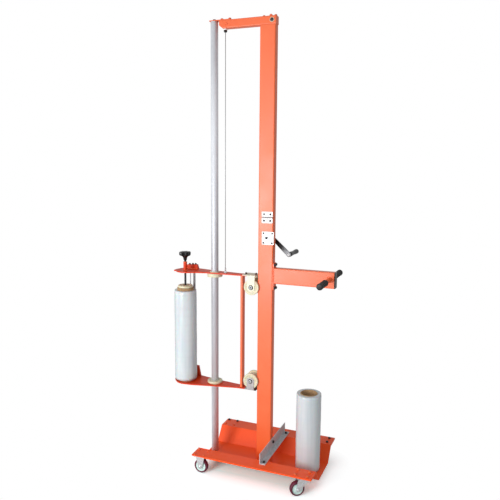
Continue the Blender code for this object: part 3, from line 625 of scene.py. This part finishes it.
profile = [(0, foot), (0.0075, foot), (0.0080, foot + 0.0005), (0.0080, seat), (0.0420, seat),
           (0.0430, seat + 0.001), (0.0430, film_low - 0.0010), (0.0422, film_low - 0.0003),
           (0.0385, film_low - 0.0003), (0.0370, hub_top - 0.004), (0.0345, hub_top), (0, hub_top)]
turned("bottom_core_hub", profile, roll_axis, UP, turned_nylon("nylon_bottom_hub", roll, ABOUT_Z), "film",
       hides=("bottom_hub",))

# -------------------------------------------- tension screw and star knob

THREAD_PITCH = 3 * MM
THREAD_DEPTH = 0.8 * MM
screw_low, screw_high = low("tension_screw").z, high("tension_screw").z
core_r = size("tension_screw").x / 2 - 0.0006
bm = bmesh.new()
lathe_into(bm, [(0, screw_low), (core_r - 0.0008, screw_low), (core_r, screw_low + 0.0012),
                (core_r, screw_high), (0, screw_high)], roll_axis, UP, 32)
helix_into(bm, roll, core_r, THREAD_DEPTH, THREAD_PITCH, screw_low + 0.004, screw_high - 0.006)
new_piece("threaded_tension_screw", bm, dark_fastener, "clamp_screw", hides=("tension_screw",))

# Each level of the knob: its height, its radius over the lobes, and how deep the hollows between them are.
KNOB_LEVELS = [(0.0000, 0.0078, 0), (0.0010, 0.0088, 0), (0.0110, 0.0100, 0), (0.0165, 0.0125, 0.0005),
               (0.0215, 0.0170, 0.0020), (0.0245, 0.0250, 0.0060), (0.0270, 0.0298, 0.0090),
               (0.0300, 0.0316, 0.0105), (0.0340, 0.0320, 0.0110), (0.0390, 0.0320, 0.0110),
               (0.0425, 0.0312, 0.0105), (0.0452, 0.0290, 0.0090), (0.0466, 0.0250, 0.0060),
               (0.0470, 0.0160, 0), (0.0464, 0.0140, 0), (0.0464, 0.0125, 0), (0.0478, 0.0118, 0),
               (0.0480, 0.0060, 0)]
KNOB_LOBES = 7
KNOB_STEPS = 168
knob_low = low("star_knob").z
bm = bmesh.new()
loops = []
for height, radius, hollow in KNOB_LEVELS:
    loop = []
    for i in range(KNOB_STEPS):
        a = TAU * i / KNOB_STEPS
        reach = radius - hollow * (0.5 - 0.5 * math.cos(KNOB_LOBES * a)) ** 1.4
        x, y = roll.x + reach * math.cos(a), roll.y + reach * math.sin(a)
        loop.append(bm.verts.new((x, y, knob_low + height)))
    loops.append(loop)
for first, second in zip(loops, loops[1:]):
    bridge(bm, first, second)
bm.faces.new(loops[0])
bm.faces.new(loops[-1])
new_piece("lobed_knob", bm, black_plastic, "clamp_screw", hides=("star_knob",))

# -------------------------------------------- guide tube, bushes and rollers

tube = middle("guide_tube")
tube_axis = (tube.x, tube.y, 0)
tube_low, tube_high = low("guide_tube").z, high("guide_tube").z
tube_r = size("guide_tube").x / 2
turned("polished_guide_tube",
       [(tube_r - 0.0025, tube_low), (tube_r, tube_low), (tube_r, tube_high), (tube_r - 0.0025, tube_high)],
       tube_axis, UP, bright_tube, "frame", ring=True, hides=("guide_tube",))

bore = tube_r + 0.0003
sleeve = 0.026
rim = size("bottom_bush").x / 2
low_end, high_end, flange = low("bottom_bush").z, high("bottom_bush").z, high("bottom_arm").z + 0.0003
profile = [(bore, low_end), (sleeve - 0.001, low_end), (sleeve, low_end + 0.001), (sleeve, flange),
           (rim - 0.001, flange), (rim, flange + 0.0012), (rim, high_end - 0.0025),
           (rim - 0.0008, high_end - 0.0008), (rim - 0.0025, high_end), (0.0270, high_end),
           (0.0255, high_end - 0.0012), (0.0225, high_end - 0.0012), (0.0215, high_end), (bore, high_end)]
turned("bottom_guide_bush", profile, tube_axis, UP, turned_nylon("nylon_bottom_bush", tube, ABOUT_Z),
       "carriage", 128, ring=True, hides=("bottom_bush",))
low_end, high_end, flange = low("top_bush").z, high("top_bush").z, low("top_arm").z - 0.0003
profile = [(bore, low_end), (rim - 0.0025, low_end), (rim - 0.0008, low_end + 0.0008),
           (rim, low_end + 0.0025), (rim, flange - 0.0012), (rim - 0.001, flange), (sleeve, flange),
           (sleeve, high_end - 0.001), (sleeve - 0.001, high_end), (bore, high_end)]
turned("top_guide_bush", profile, tube_axis, UP, turned_nylon("nylon_top_bush", tube, ABOUT_Z),
       "carriage", 128, ring=True, hides=("top_bush",))

ROLLER_BARREL_R = 31.2 * MM
ROLLER_FLANGE = 12 * MM
for tag in ("upper", "lower"):
    roller = f"{tag}_roller"
    centre = middle(roller)
    half = size(roller).y / 2
    rim = size(roller).x / 2
    track = half - ROLLER_FLANGE
    profile = [(0.0063, -half), (0.0150, -half), (0.0160, -half + 0.0010), (0.0290, -half + 0.0010),
               (0.0300, -half), (rim - 0.0022, -half), (rim - 0.0006, -half + 0.0007), (rim, -half + 0.0022),
               (rim, -track - 0.001), (rim - 0.001, -track), (ROLLER_BARREL_R, -track)]
    turned(f"{tag}_guide_roller", mirrored(profile), centre, BACK,
           turned_nylon(f"nylon_{roller}", centre, ABOUT_Y), roller, 128, ring=True, hides=(roller,))
    fork = high(f"{tag}_fork").y
    for side, face in FACES:
        out = (0, face, 0)
        turned(f"{tag}_axle_washer_{side}", [(0.0085, 0), (0.0125, 0), (0.0125, 0.0010), (0.0120, 0.0014),
                                             (0.0085, 0.0014)],
               (centre.x, face * (fork + 0.0003), centre.z), out, dark_fastener, "carriage", 48, ring=True)
        hex_head = bmesh.new()
        hexagon_into(hex_head, (centre.x, face * (fork + 0.0012), centre.z), out, 0.0165, 0.0030)
        new_piece(f"{tag}_axle_head_{side}", hex_head, galvanised_angle, "carriage")
        turned(f"{tag}_axle_end_{side}",
               [(0, 0), (0.0038, 0), (0.0038, 0.0010), (0.0032, 0.0016), (0, 0.0016)],
               (centre.x, face * (fork + 0.0042), centre.z), out, dark_fastener, "carriage", 24)

# -------------------------------------------- hoist cable

drop = middle("cable_drop")
drop_low, drop_high = low("cable_drop").z, high("cable_drop").z
ROPE_R = 1.6 * MM
# It has rings at its two ends only, so that it stays straight while the carriage travels.
rope = turned("hoist_rope", [(0, drop_low), (ROPE_R, drop_low), (ROPE_R, drop_high), (0, drop_high)],
              (drop.x, drop.y, 0), UP, rope_steel, None, 16, hides=("cable_drop",))
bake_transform(rope)

arm_top = low("top_arm").z + 0.006
turned("rope_ferrule", [(0.0017, 0.0100), (0.0036, 0.0100), (0.0040, 0.0110), (0.0040, 0.0165),
                        (0.0034, 0.0180), (0.0040, 0.0195), (0.0040, 0.0250), (0.0036, 0.0260),
                        (0.0017, 0.0260)],
       (drop.x, drop.y, arm_top), UP, pressed_steel, "carriage", 32, ring=True)
turned("rope_anchor", [(0.0019, 0), (0.0090, 0), (0.0090, 0.0016), (0.0060, 0.0022), (0.0055, 0.0080),
                       (0.0045, 0.0096), (0.0019, 0.0096)],
       (drop.x, drop.y, arm_top + 0.0002), UP, zinc, "carriage", 36, ring=True)
turned("cable_guide_tip", [(0.0021, -0.0010), (0.0066, -0.0010), (0.0084, 0.0010), (0.0084, 0.0088),
                           (0.0063, 0.0092), (0.0063, -0.0001), (0.0021, -0.0001)],
       (drop.x, drop.y, low("cable_guide").z), UP, black_plastic, "frame", 48, ring=True)

# -------------------------------------------- crank grip and handlebar grips

grip = middle("crank_grip")
front_end, back_end = low("crank_grip").y, high("crank_grip").y
r = size("crank_grip").x / 2
profile = [(0, front_end), (0.0058, front_end), (0.0058, front_end + 0.0045),
           (r - 0.0030, front_end + 0.0047), (r - 0.0010, front_end + 0.0058), (r, front_end + 0.0080),
           (r, front_end + 0.0120)]
steps = 30
for i in range(steps + 1):
    t = i / steps
    waist = 0.0022 * math.sin(math.pi * t) ** 2 * (1 - 0.45 * t)
    profile.append((r - waist, front_end + 0.014 + (back_end - front_end - 0.024) * t))
profile += [(r, back_end - 0.0070), (r - 0.0012, back_end - 0.0030), (r - 0.0045, back_end - 0.0006),
            (r - 0.0080, back_end), (0, back_end)]
turned("crank_hand_grip", profile, (grip.x, 0, grip.z), BACK, black_plastic, "crank_handle", 72,
       hides=("crank_grip",))

GRIP_RIBS = 10
bar = middle("handle_bar")
for name, side in (("grip_front", -1), ("grip_rear", 1)):
    inner, outer = (high(name).y, low(name).y) if side < 0 else (low(name).y, high(name).y)
    length = abs(outer - inner)
    r = size(name).x / 2
    profile = [(0, 0), (r - 0.0006, 0), (r, 0.0008), (r, 0.0040), (r - 0.0008, 0.0052), (r - 0.0022, 0.0062)]
    pitch = (length - 0.024) / GRIP_RIBS
    for i in range(GRIP_RIBS):
        at = 0.008 + pitch * i
        profile += [(r - 0.0024, at), (r - 0.0024, at + pitch * 0.30), (r - 0.0008, at + pitch * 0.45),
                    (r - 0.0008, at + pitch * 0.85)]
    profile += [(r - 0.0024, length - 0.0150), (r - 0.0006, length - 0.0130), (r, length - 0.0115),
                (r, length - 0.0030), (r - 0.0010, length - 0.0010), (r - 0.0035, length), (0, length)]
    turned(f"ribbed_{name}", profile, (bar.x, inner, bar.z), (0, side, 0), black_rubber, "frame", 72,
           hides=(name,))

for side, face in FACES:
    turned(f"bar_collar_{side}",
           [(0.0112, 0), (0.0152, 0), (0.0148, 0.0016), (0.0125, 0.0034), (0.0112, 0.0036)],
           (bar.x, face * 0.0199, bar.z), (0, face, 0), orange_coat, "frame", 48, ring=True)

# -------------------------------------------- casters

HUB_HALF = 15.5 * MM
AXLE_NUT_OUT = 18.6 * MM
joints = {joint["name"]: joint for joint in frame["joints"]}
for tag in CASTERS:
    wheel = middle(f"caster_wheel_{tag}")
    swivel = joints.get(f"swivel_{tag}")
    carrier = f"caster_{tag}" if swivel else "frame"
    axle = Vector(joints[f"wheel_spin_{tag}"]["axis"])
    r = size(f"caster_wheel_{tag}").z / 2
    profile = [(0.0043, -HUB_HALF), (0.0085, -HUB_HALF), (0.0094, -HUB_HALF + 0.0008), (0.0108, -0.0112),
               (0.0120, -0.0100), (0.0240, -0.0082), (0.0258, -0.0090), (0.0275, -0.0114), (0.0290, -0.0118),
               (0.0294, -0.0106), (0.0300, -0.0118), (0.0340, -0.0118), (0.0360, -0.0100), (0.0371, -0.0065),
               (r, -0.0025)]
    turned(f"wheel_{tag}", mirrored(profile), wheel, axle, wheel_finish(tag, wheel), f"wheel_{tag}",
           ring=True, hides=(f"caster_wheel_{tag}",))
    for side, face in (("a", -1), ("b", 1)):
        bm = bmesh.new()
        hexagon_into(bm, wheel + axle * face * AXLE_NUT_OUT, axle * face, 0.0130, 0.0042, washer=0.0080)
        new_piece(f"caster_axle_nut_{tag}_{side}", bm, zinc, carrier)
    plate = middle(f"caster_plate_{tag}")
    under = low(f"caster_plate_{tag}").z
    if swivel:
        at = (swivel["pos_m"][0], swivel["pos_m"][1], under)
        profile = [(0.0120, -0.0078), (0.0225, -0.0078), (0.0250, -0.0066), (0.0258, -0.0048),
                   (0.0258, -0.0040), (0.0240, -0.0032), (0.0120, -0.0032)]
        turned(f"race_{tag}", profile, at, UP, zinc, carrier, 72, ring=True)
        profile = [(0.0120, -0.0028), (0.0246, -0.0028), (0.0262, -0.0018), (0.0268, -0.0002),
                   (0.0120, -0.0002)]
        turned(f"race_cover_{tag}", profile, at, UP, zinc, "frame", 72, ring=True)
    across, reach_x, reach_y = (0.0130, 0.0300, 0.0235) if swivel else (0.0100, 0.0260, 0.0260)
    flange_top = high("front_rail" if tag == "fl" else "base_tray").z
    # The rear row on one caster and the outer pair on another are bare black nuts. Other heads are painted.
    painted, bare = [], []
    for dx in (-1, 1):
        for dy in (-1, 1):
            row = bare if (tag == "rl" and dy > 0) or (tag == "rr" and dx > 0) else painted
            row.append((plate.x + dx * reach_x, plate.y + dy * reach_y, flange_top))
    hex_set(f"caster_head_{tag}", painted, UP, across * 0.95, 0.0048, orange_coat, "frame")
    hex_set(f"caster_nut_{tag}", bare, UP, 0.0120, 0.0050, dark_fastener, "frame", stud=0.0018, washer=0.0072)
    heads = [(x, y, under) for x, y, z in painted + bare]
    hex_set(f"caster_bolt_{tag}", heads, DOWN, across, 0.0038, zinc, "frame")

# -------------------------------------------- fasteners and small parts of the mast

STRAP_T = 3 * MM
STRAP_NUTS_X = (-0.2492, -0.2070)
BOOM_NUTS = ((-0.0287, 0.006), (0.0112, -0.006), (0.0310, 0.006))
strap_top = high("top_boom").z
boom_top = strap_top - STRAP_T
hex_set("strap_bolt", [(tube.x, 0, strap_top)], UP, 0.0130, 0.0055, dark_fastener, "frame", washer=0.0085)
hex_set("strap_nut", [(x, 0, strap_top) for x in STRAP_NUTS_X], UP, 0.0130, 0.0058, orange_coat, "frame",
        stud=0.002, washer=0.0080)
hex_set("boom_nut", [(x, y, boom_top) for x, y in BOOM_NUTS], UP, 0.0130, 0.0058, orange_coat, "frame",
        stud=0.002, washer=0.0080)

# A thin plate welded over the boom's open end, a little smaller than the box section all round.
bm = bmesh.new()
end_plate_into(bm, high("mast_upper").x, 1.6 * MM, 0.0194, boom_top - 0.0394, boom_top - 0.0006, 3.6 * MM)
new_piece("boom_end_plate", bm, orange_coat, "frame", edge=0.4 * MM)

pulley = middle("mast_pulley")
boom_side = high("top_boom").y
for side, face in FACES:
    out = (0, face, 0)
    at = (pulley.x, face * boom_side, pulley.z)
    turned(f"pulley_bush_{side}", [(0.0080, 0), (0.0108, 0), (0.0114, 0.0006), (0.0114, 0.0022),
                                   (0.0106, 0.0028), (0.0088, 0.0028), (0.0080, 0.0020)],
           at, out, turned_nylon(f"nylon_pulley_bush_{side}", pulley, ABOUT_Y), "frame", 48, ring=True)
    turned(f"pulley_pin_end_{side}", [(0, 0.0019), (0.0079, 0.0019), (0.0079, 0.0029), (0.0090, 0.0029),
                                      (0.0090, 0.0034), (0.0086, 0.0038), (0, 0.0038)],
           at, out, dark_fastener, "frame", 40)
    turned(f"boom_pin_cap_{side}", [(0, 0), (0.0068, 0), (0.0068, 0.0014), (0.0055, 0.0028), (0, 0.0032)],
           (middle("boom_pulley").x, face * boom_side, pulley.z), out, orange_coat, "frame", 40)

KNUCKLES = 5
hinge = middle("hinge_pin")
leaf_face = low("hinge_upper_leaf").y
pitch = size("hinge_pin").x / KNUCKLES
length = pitch - 0.0006
for i in range(KNUCKLES):
    at = (low("hinge_pin").x + i * pitch + 0.0003, hinge.y, hinge.z)
    turned(f"hinge_knuckle_{i + 1}", [(0.0021, 0), (0.0037, 0), (0.0037, length), (0.0021, length)],
           at, RIGHT, pressed_steel, "frame", 40, ring=True)
screws = [(hinge.x + dx, leaf_face, middle(leaf).z) for leaf in ("hinge_upper_leaf", "hinge_lower_leaf")
          for dx in (-0.0165, 0.0165)]
screw_set("hinge_screw", screws, FRONT, 0.0050, dark_fastener, "frame")

WINCH_SCREW_IN = 8.5 * MM
plate = middle("winch_plate")
reach = size("winch_plate") / 2 - Vector((WINCH_SCREW_IN, 0, WINCH_SCREW_IN))
plate_face = low("winch_plate").y
screws = [(plate.x + dx * reach.x, plate_face, plate.z + dz * reach.z) for dx in (-1, 1) for dz in (-1, 1)]
screw_set("winch_plate_screw", screws, FRONT, 0.0044, dark_fastener, "frame")

shaft = middle("winch_drum")
turned("winch_shaft_collar", [(0.0063, 0), (0.0098, 0), (0.0098, 0.0012), (0.0090, 0.0018), (0.0063, 0.0018)],
       (shaft.x, plate_face, shaft.z), FRONT, zinc, "frame", 48, ring=True)
turned("winch_shaft_end", [(0, 0), (0.0057, 0), (0.0057, 0.0012), (0.0050, 0.0018), (0.0028, 0.0018),
                           (0.0026, 0.0006), (0, 0.0006)],
       (shaft.x, low("winch_drum").y - 0.0001, shaft.z), FRONT, dark_fastener, "winch", 32)
arm_face, arm_back = low("crank_arm").y, high("crank_arm").y
turned("crank_hub", [(0.0066, 0), (0.0105, 0), (0.0100, 0.0034), (0.0066, 0.0036)],
       (shaft.x, arm_face - 0.0036, shaft.z), BACK, dark_fastener, "winch", 48, ring=True)
hex_set("crank_nut", [(shaft.x, arm_back, shaft.z)], BACK, 0.0130, 0.0065, zinc, "winch", stud=0.002,
        washer=0.0085)
screw_set("crank_pivot_bolt", [(pivot.x, arm_face, pivot.z)], FRONT, 0.0068, zinc, "winch")

# -------------------------------------------- fasteners of the handle and brace

HANDLE_FLANGE_T = 5 * MM
HANDLE_BOLTS_Z = (1.0965, 0.9765)
flange_face = low("handle_arm").x + HANDLE_FLANGE_T
bolts = [(flange_face, y, z) for z in HANDLE_BOLTS_Z for y in (-0.0120, 0.0120)]
hex_set("handle_bolt", bolts, RIGHT, 0.0130, 0.0056, dark_fastener, "frame", washer=0.0078)

BRACE_T = 4 * MM
brace = low("angle_brace")
bolts = [(brace.x + 0.018, y, brace.z + BRACE_T) for y in (-0.165, 0.187)]
hex_set("brace_bolt", bolts, UP, 0.0130, 0.0058, dark_fastener, "frame", washer=0.0080)
hex_set("brace_side_bolt", [(brace.x + BRACE_T, 0.006, brace.z + 0.034)], RIGHT, 0.0130, 0.0058,
        dark_fastener, "frame", washer=0.0080)

# -------------------------------------------- fasteners and end cap of the carriage

fork_top = high("upper_fork").z
bolts = [(low("upper_fork").x + 0.0075, 0, fork_top), (high("upper_fork").x - 0.0080, 0.004, fork_top)]
hex_set("fork_bolt", bolts, UP, 0.0092, 0.0046, rusty_fastener, "carriage", stud=0.0030, washer=0.0058)
lower_fork = low("lower_fork")
hex_set("lower_fork_bolt", [(lower_fork.x + 0.0065, 0, lower_fork.z + 0.003)], UP, 0.0110, 0.0048,
        dark_fastener, "carriage", washer=0.0062)

# The bracket's top edge slopes down to the left, so each nut sits a little lower than the one to its right.
BRACKET_NUTS = ((-0.4642, 0.0460, 0.0027), (-0.4470, 0.0500, 0.0017), (-0.4280, 0.0460, 0.0006))
bracket_low, bracket_high = low("top_bracket"), high("top_bracket")
nuts = [(x, y, bracket_high.z - below) for x, y, below in BRACKET_NUTS]
hex_set("bracket_nut", nuts, (-0.058, 0, 1), 0.0095, 0.0045, dark_fastener, "carriage", stud=0.0020,
        washer=0.0058)

arm_end = high("bottom_arm").x
arm_low = low("bottom_arm").z
bm = bmesh.new()
box_into(bm, (arm_end - 0.010, -0.0192, arm_low - 0.0012), (arm_end + 0.0035, 0.0192, arm_low + 0.0062))
new_piece("arm_end_cap", bm, black_plastic, "carriage", edge=1.2 * MM)

# -------------------------------------------- welds, and the rim of the screw's boss

turned("boss_weld", [(0.0098, 0), (0.0135, 0.0001), (0.0128, 0.0016), (0.0112, 0.0030), (0.0098, 0.0038)],
       (roll.x, roll.y, arm_top), UP, orange_coat, "carriage", 64, ring=True)
turned("boss_rim", [(0.0063, 0.0), (0.0101, 0.0), (0.0106, 0.0010), (0.0106, 0.0034), (0.0098, 0.0042),
                    (0.0063, 0.0042)],
       (roll.x, roll.y, high("top_arm").z - 0.0040), UP, orange_coat, "carriage", 48, ring=True)

post_low, post_high = low("carriage_post"), high("carriage_post")
for tag, z in (("low", high("bottom_arm").z + 0.0008), ("high", low("top_arm").z - 0.0008)):
    for side, x in (("left", post_low.x), ("right", post_high.x)):
        weld_bead(f"post_weld_{tag}_{side}", (x, post_low.y + 0.001, z), (x, post_high.y - 0.001, z), 0.0021,
                  "carriage")

HANDLE_BEAM_Z = (1.0005, 1.0815)
weld_x = flange_face + 0.0002
beam_low, beam_high = HANDLE_BEAM_Z
for tag, z in (("top", beam_high), ("bottom", beam_low)):
    weld_bead(f"handle_weld_{tag}", (weld_x, -0.0165, z), (weld_x, 0.0165, z), 0.0022, "frame")
for tag, y in (("front", -0.0198), ("back", 0.0198)):
    weld_bead(f"handle_weld_{tag}", (weld_x, y, beam_low + 0.004), (weld_x, y, beam_high - 0.004), 0.0022,
              "frame")
weld_bead("bracket_weld", (bracket_low.x + 0.004, bracket_low.y, bracket_low.z + 0.0004),
          (bracket_high.x - 0.004, bracket_low.y, bracket_low.z + 0.0004), 0.0018, "carriage")

# -------------------------------------------- floor, light and camera

bm = bmesh.new()
bmesh.ops.create_grid(bm, x_segments=4, y_segments=4, size=9.0)
floor_mesh = bpy.data.meshes.new("studio_floor")
bm.to_mesh(floor_mesh)
bm.free()
floor = bpy.data.objects.new("studio_floor", floor_mesh)
bpy.context.scene.collection.objects.link(floor)
made = bpy.data.materials.new("studio_floor_paint")
made.use_nodes = True
tree = made.node_tree
tree.nodes.clear()
# The camera sees shading under the base, without the orange that the tray throws down, and plain white
# further out, while the object is lit by a plain pale floor. SHADED is half the size of the shaded rectangle.
SHADED = (0.25, 0.14, 0.0)
seen = node(tree, "LightPath").outputs["Is Camera Ray"]
place = node(tree, "VectorMath", here(tree), operation="ABSOLUTE")
past = node(tree, "VectorMath", place, SHADED, operation="SUBTRACT")
past = node(tree, "VectorMath", past, (0.0, 0.0, 0.0), operation="MAXIMUM")
away = node(tree, "VectorMath", past, operation="LENGTH")
neutral = node(tree, "MapRange", away, 0.0, 0.10, 0.0, 1.0)
shown = node(tree, "Mix", neutral, (0.92, 1.80, 1.84, 1), (1.85, 1.90, 1.92, 1), data_type="RGBA")
paint = node(tree, "Mix", seen, (0.85, 0.85, 0.85, 1), shown, data_type="RGBA")
matt = node(tree, "BsdfDiffuse", paint, 0.0)
glow = node(tree, "Emission", "#FFFFFF", 1.0)
sweep = node(tree, "Math", node(tree, "MapRange", away, 0.0, 0.19, 0.0, 1.0), seen, operation="MULTIPLY")
node(tree, "OutputMaterial", node(tree, "MixShader", sweep, matt, glow))
floor_mesh.materials.append(made)

# The world is brighter towards the front left, brighter again in reflections, and plain white to the camera.
world = bpy.data.worlds.new("studio_world")
bpy.context.scene.world = world
world.use_nodes = True
tree = world.node_tree
tree.nodes.clear()
path = node(tree, "LightPath").outputs
facing = node(tree, "TexCoord").outputs["Generated"]
toward = node(tree, "VectorMath", facing, (-0.50, -0.85, 0.15), operation="DOT_PRODUCT")
soft = node(tree, "MapRange", toward, -1.0, 1.0, 0.28, 0.62)
sheen = node(tree, "MapRange", toward, -1.0, 1.0, 0.55, 1.0)
level = node(tree, "Mix", path["Is Glossy Ray"], soft, sheen, data_type="FLOAT")
seen = node(tree, "Math", path["Is Camera Ray"], path["Is Transmission Ray"], operation="MAXIMUM")
level = node(tree, "Mix", seen, level, 1.0, data_type="FLOAT")
node(tree, "OutputWorld", node(tree, "Background", "#FFFFFF", level))


def soft_light(name, place, target, width, height, watts):
    data = bpy.data.lights.new(name, "AREA")
    data.shape = "RECTANGLE"
    data.size = width
    data.size_y = height
    data.energy = watts
    lamp = bpy.data.objects.new(name, data)
    lamp.location = place
    lamp.rotation_euler = (Vector(target) - Vector(place)).to_track_quat("-Z", "Y").to_euler()
    bpy.context.scene.collection.objects.link(lamp)


soft_light("front_softbox", (-1.1, -3.0, 0.98), (0, 0, 1.0), 1.3, 1.2, 60)
soft_light("upper_softbox", (-1.1, -3.0, 2.0), (0, 0, 1.4), 1.3, 1.3, 13)

# The camera stands 3 m off, a little above the push handle.
CAMERA_AT = Vector((1.0125, -2.7383, 1.5951))
AZIMUTH = math.radians(21.96)
PITCH = math.radians(8.32)
ROLL = math.radians(0.39)
back = Vector((math.sin(AZIMUTH) * math.cos(PITCH), -math.cos(AZIMUTH) * math.cos(PITCH), math.sin(PITCH)))
right = Vector((math.cos(AZIMUTH), math.sin(AZIMUTH), 0))
up = back.cross(right)
turned_right = right * math.cos(ROLL) + up * math.sin(ROLL)
turned_up = up * math.cos(ROLL) - right * math.sin(ROLL)
camera_data = bpy.data.cameras.new("studio_camera")
camera_data.sensor_width = 36
camera_data.lens = 41.86
camera = bpy.data.objects.new("studio_camera", camera_data)
camera.matrix_world = Matrix((turned_right, turned_up, back)).transposed().to_4x4()
camera.location = CAMERA_AT
bpy.context.scene.collection.objects.link(camera)
bpy.context.scene.camera = camera

bpy.context.scene.view_settings.view_transform = "Standard"

bpy.context.view_layer.update()
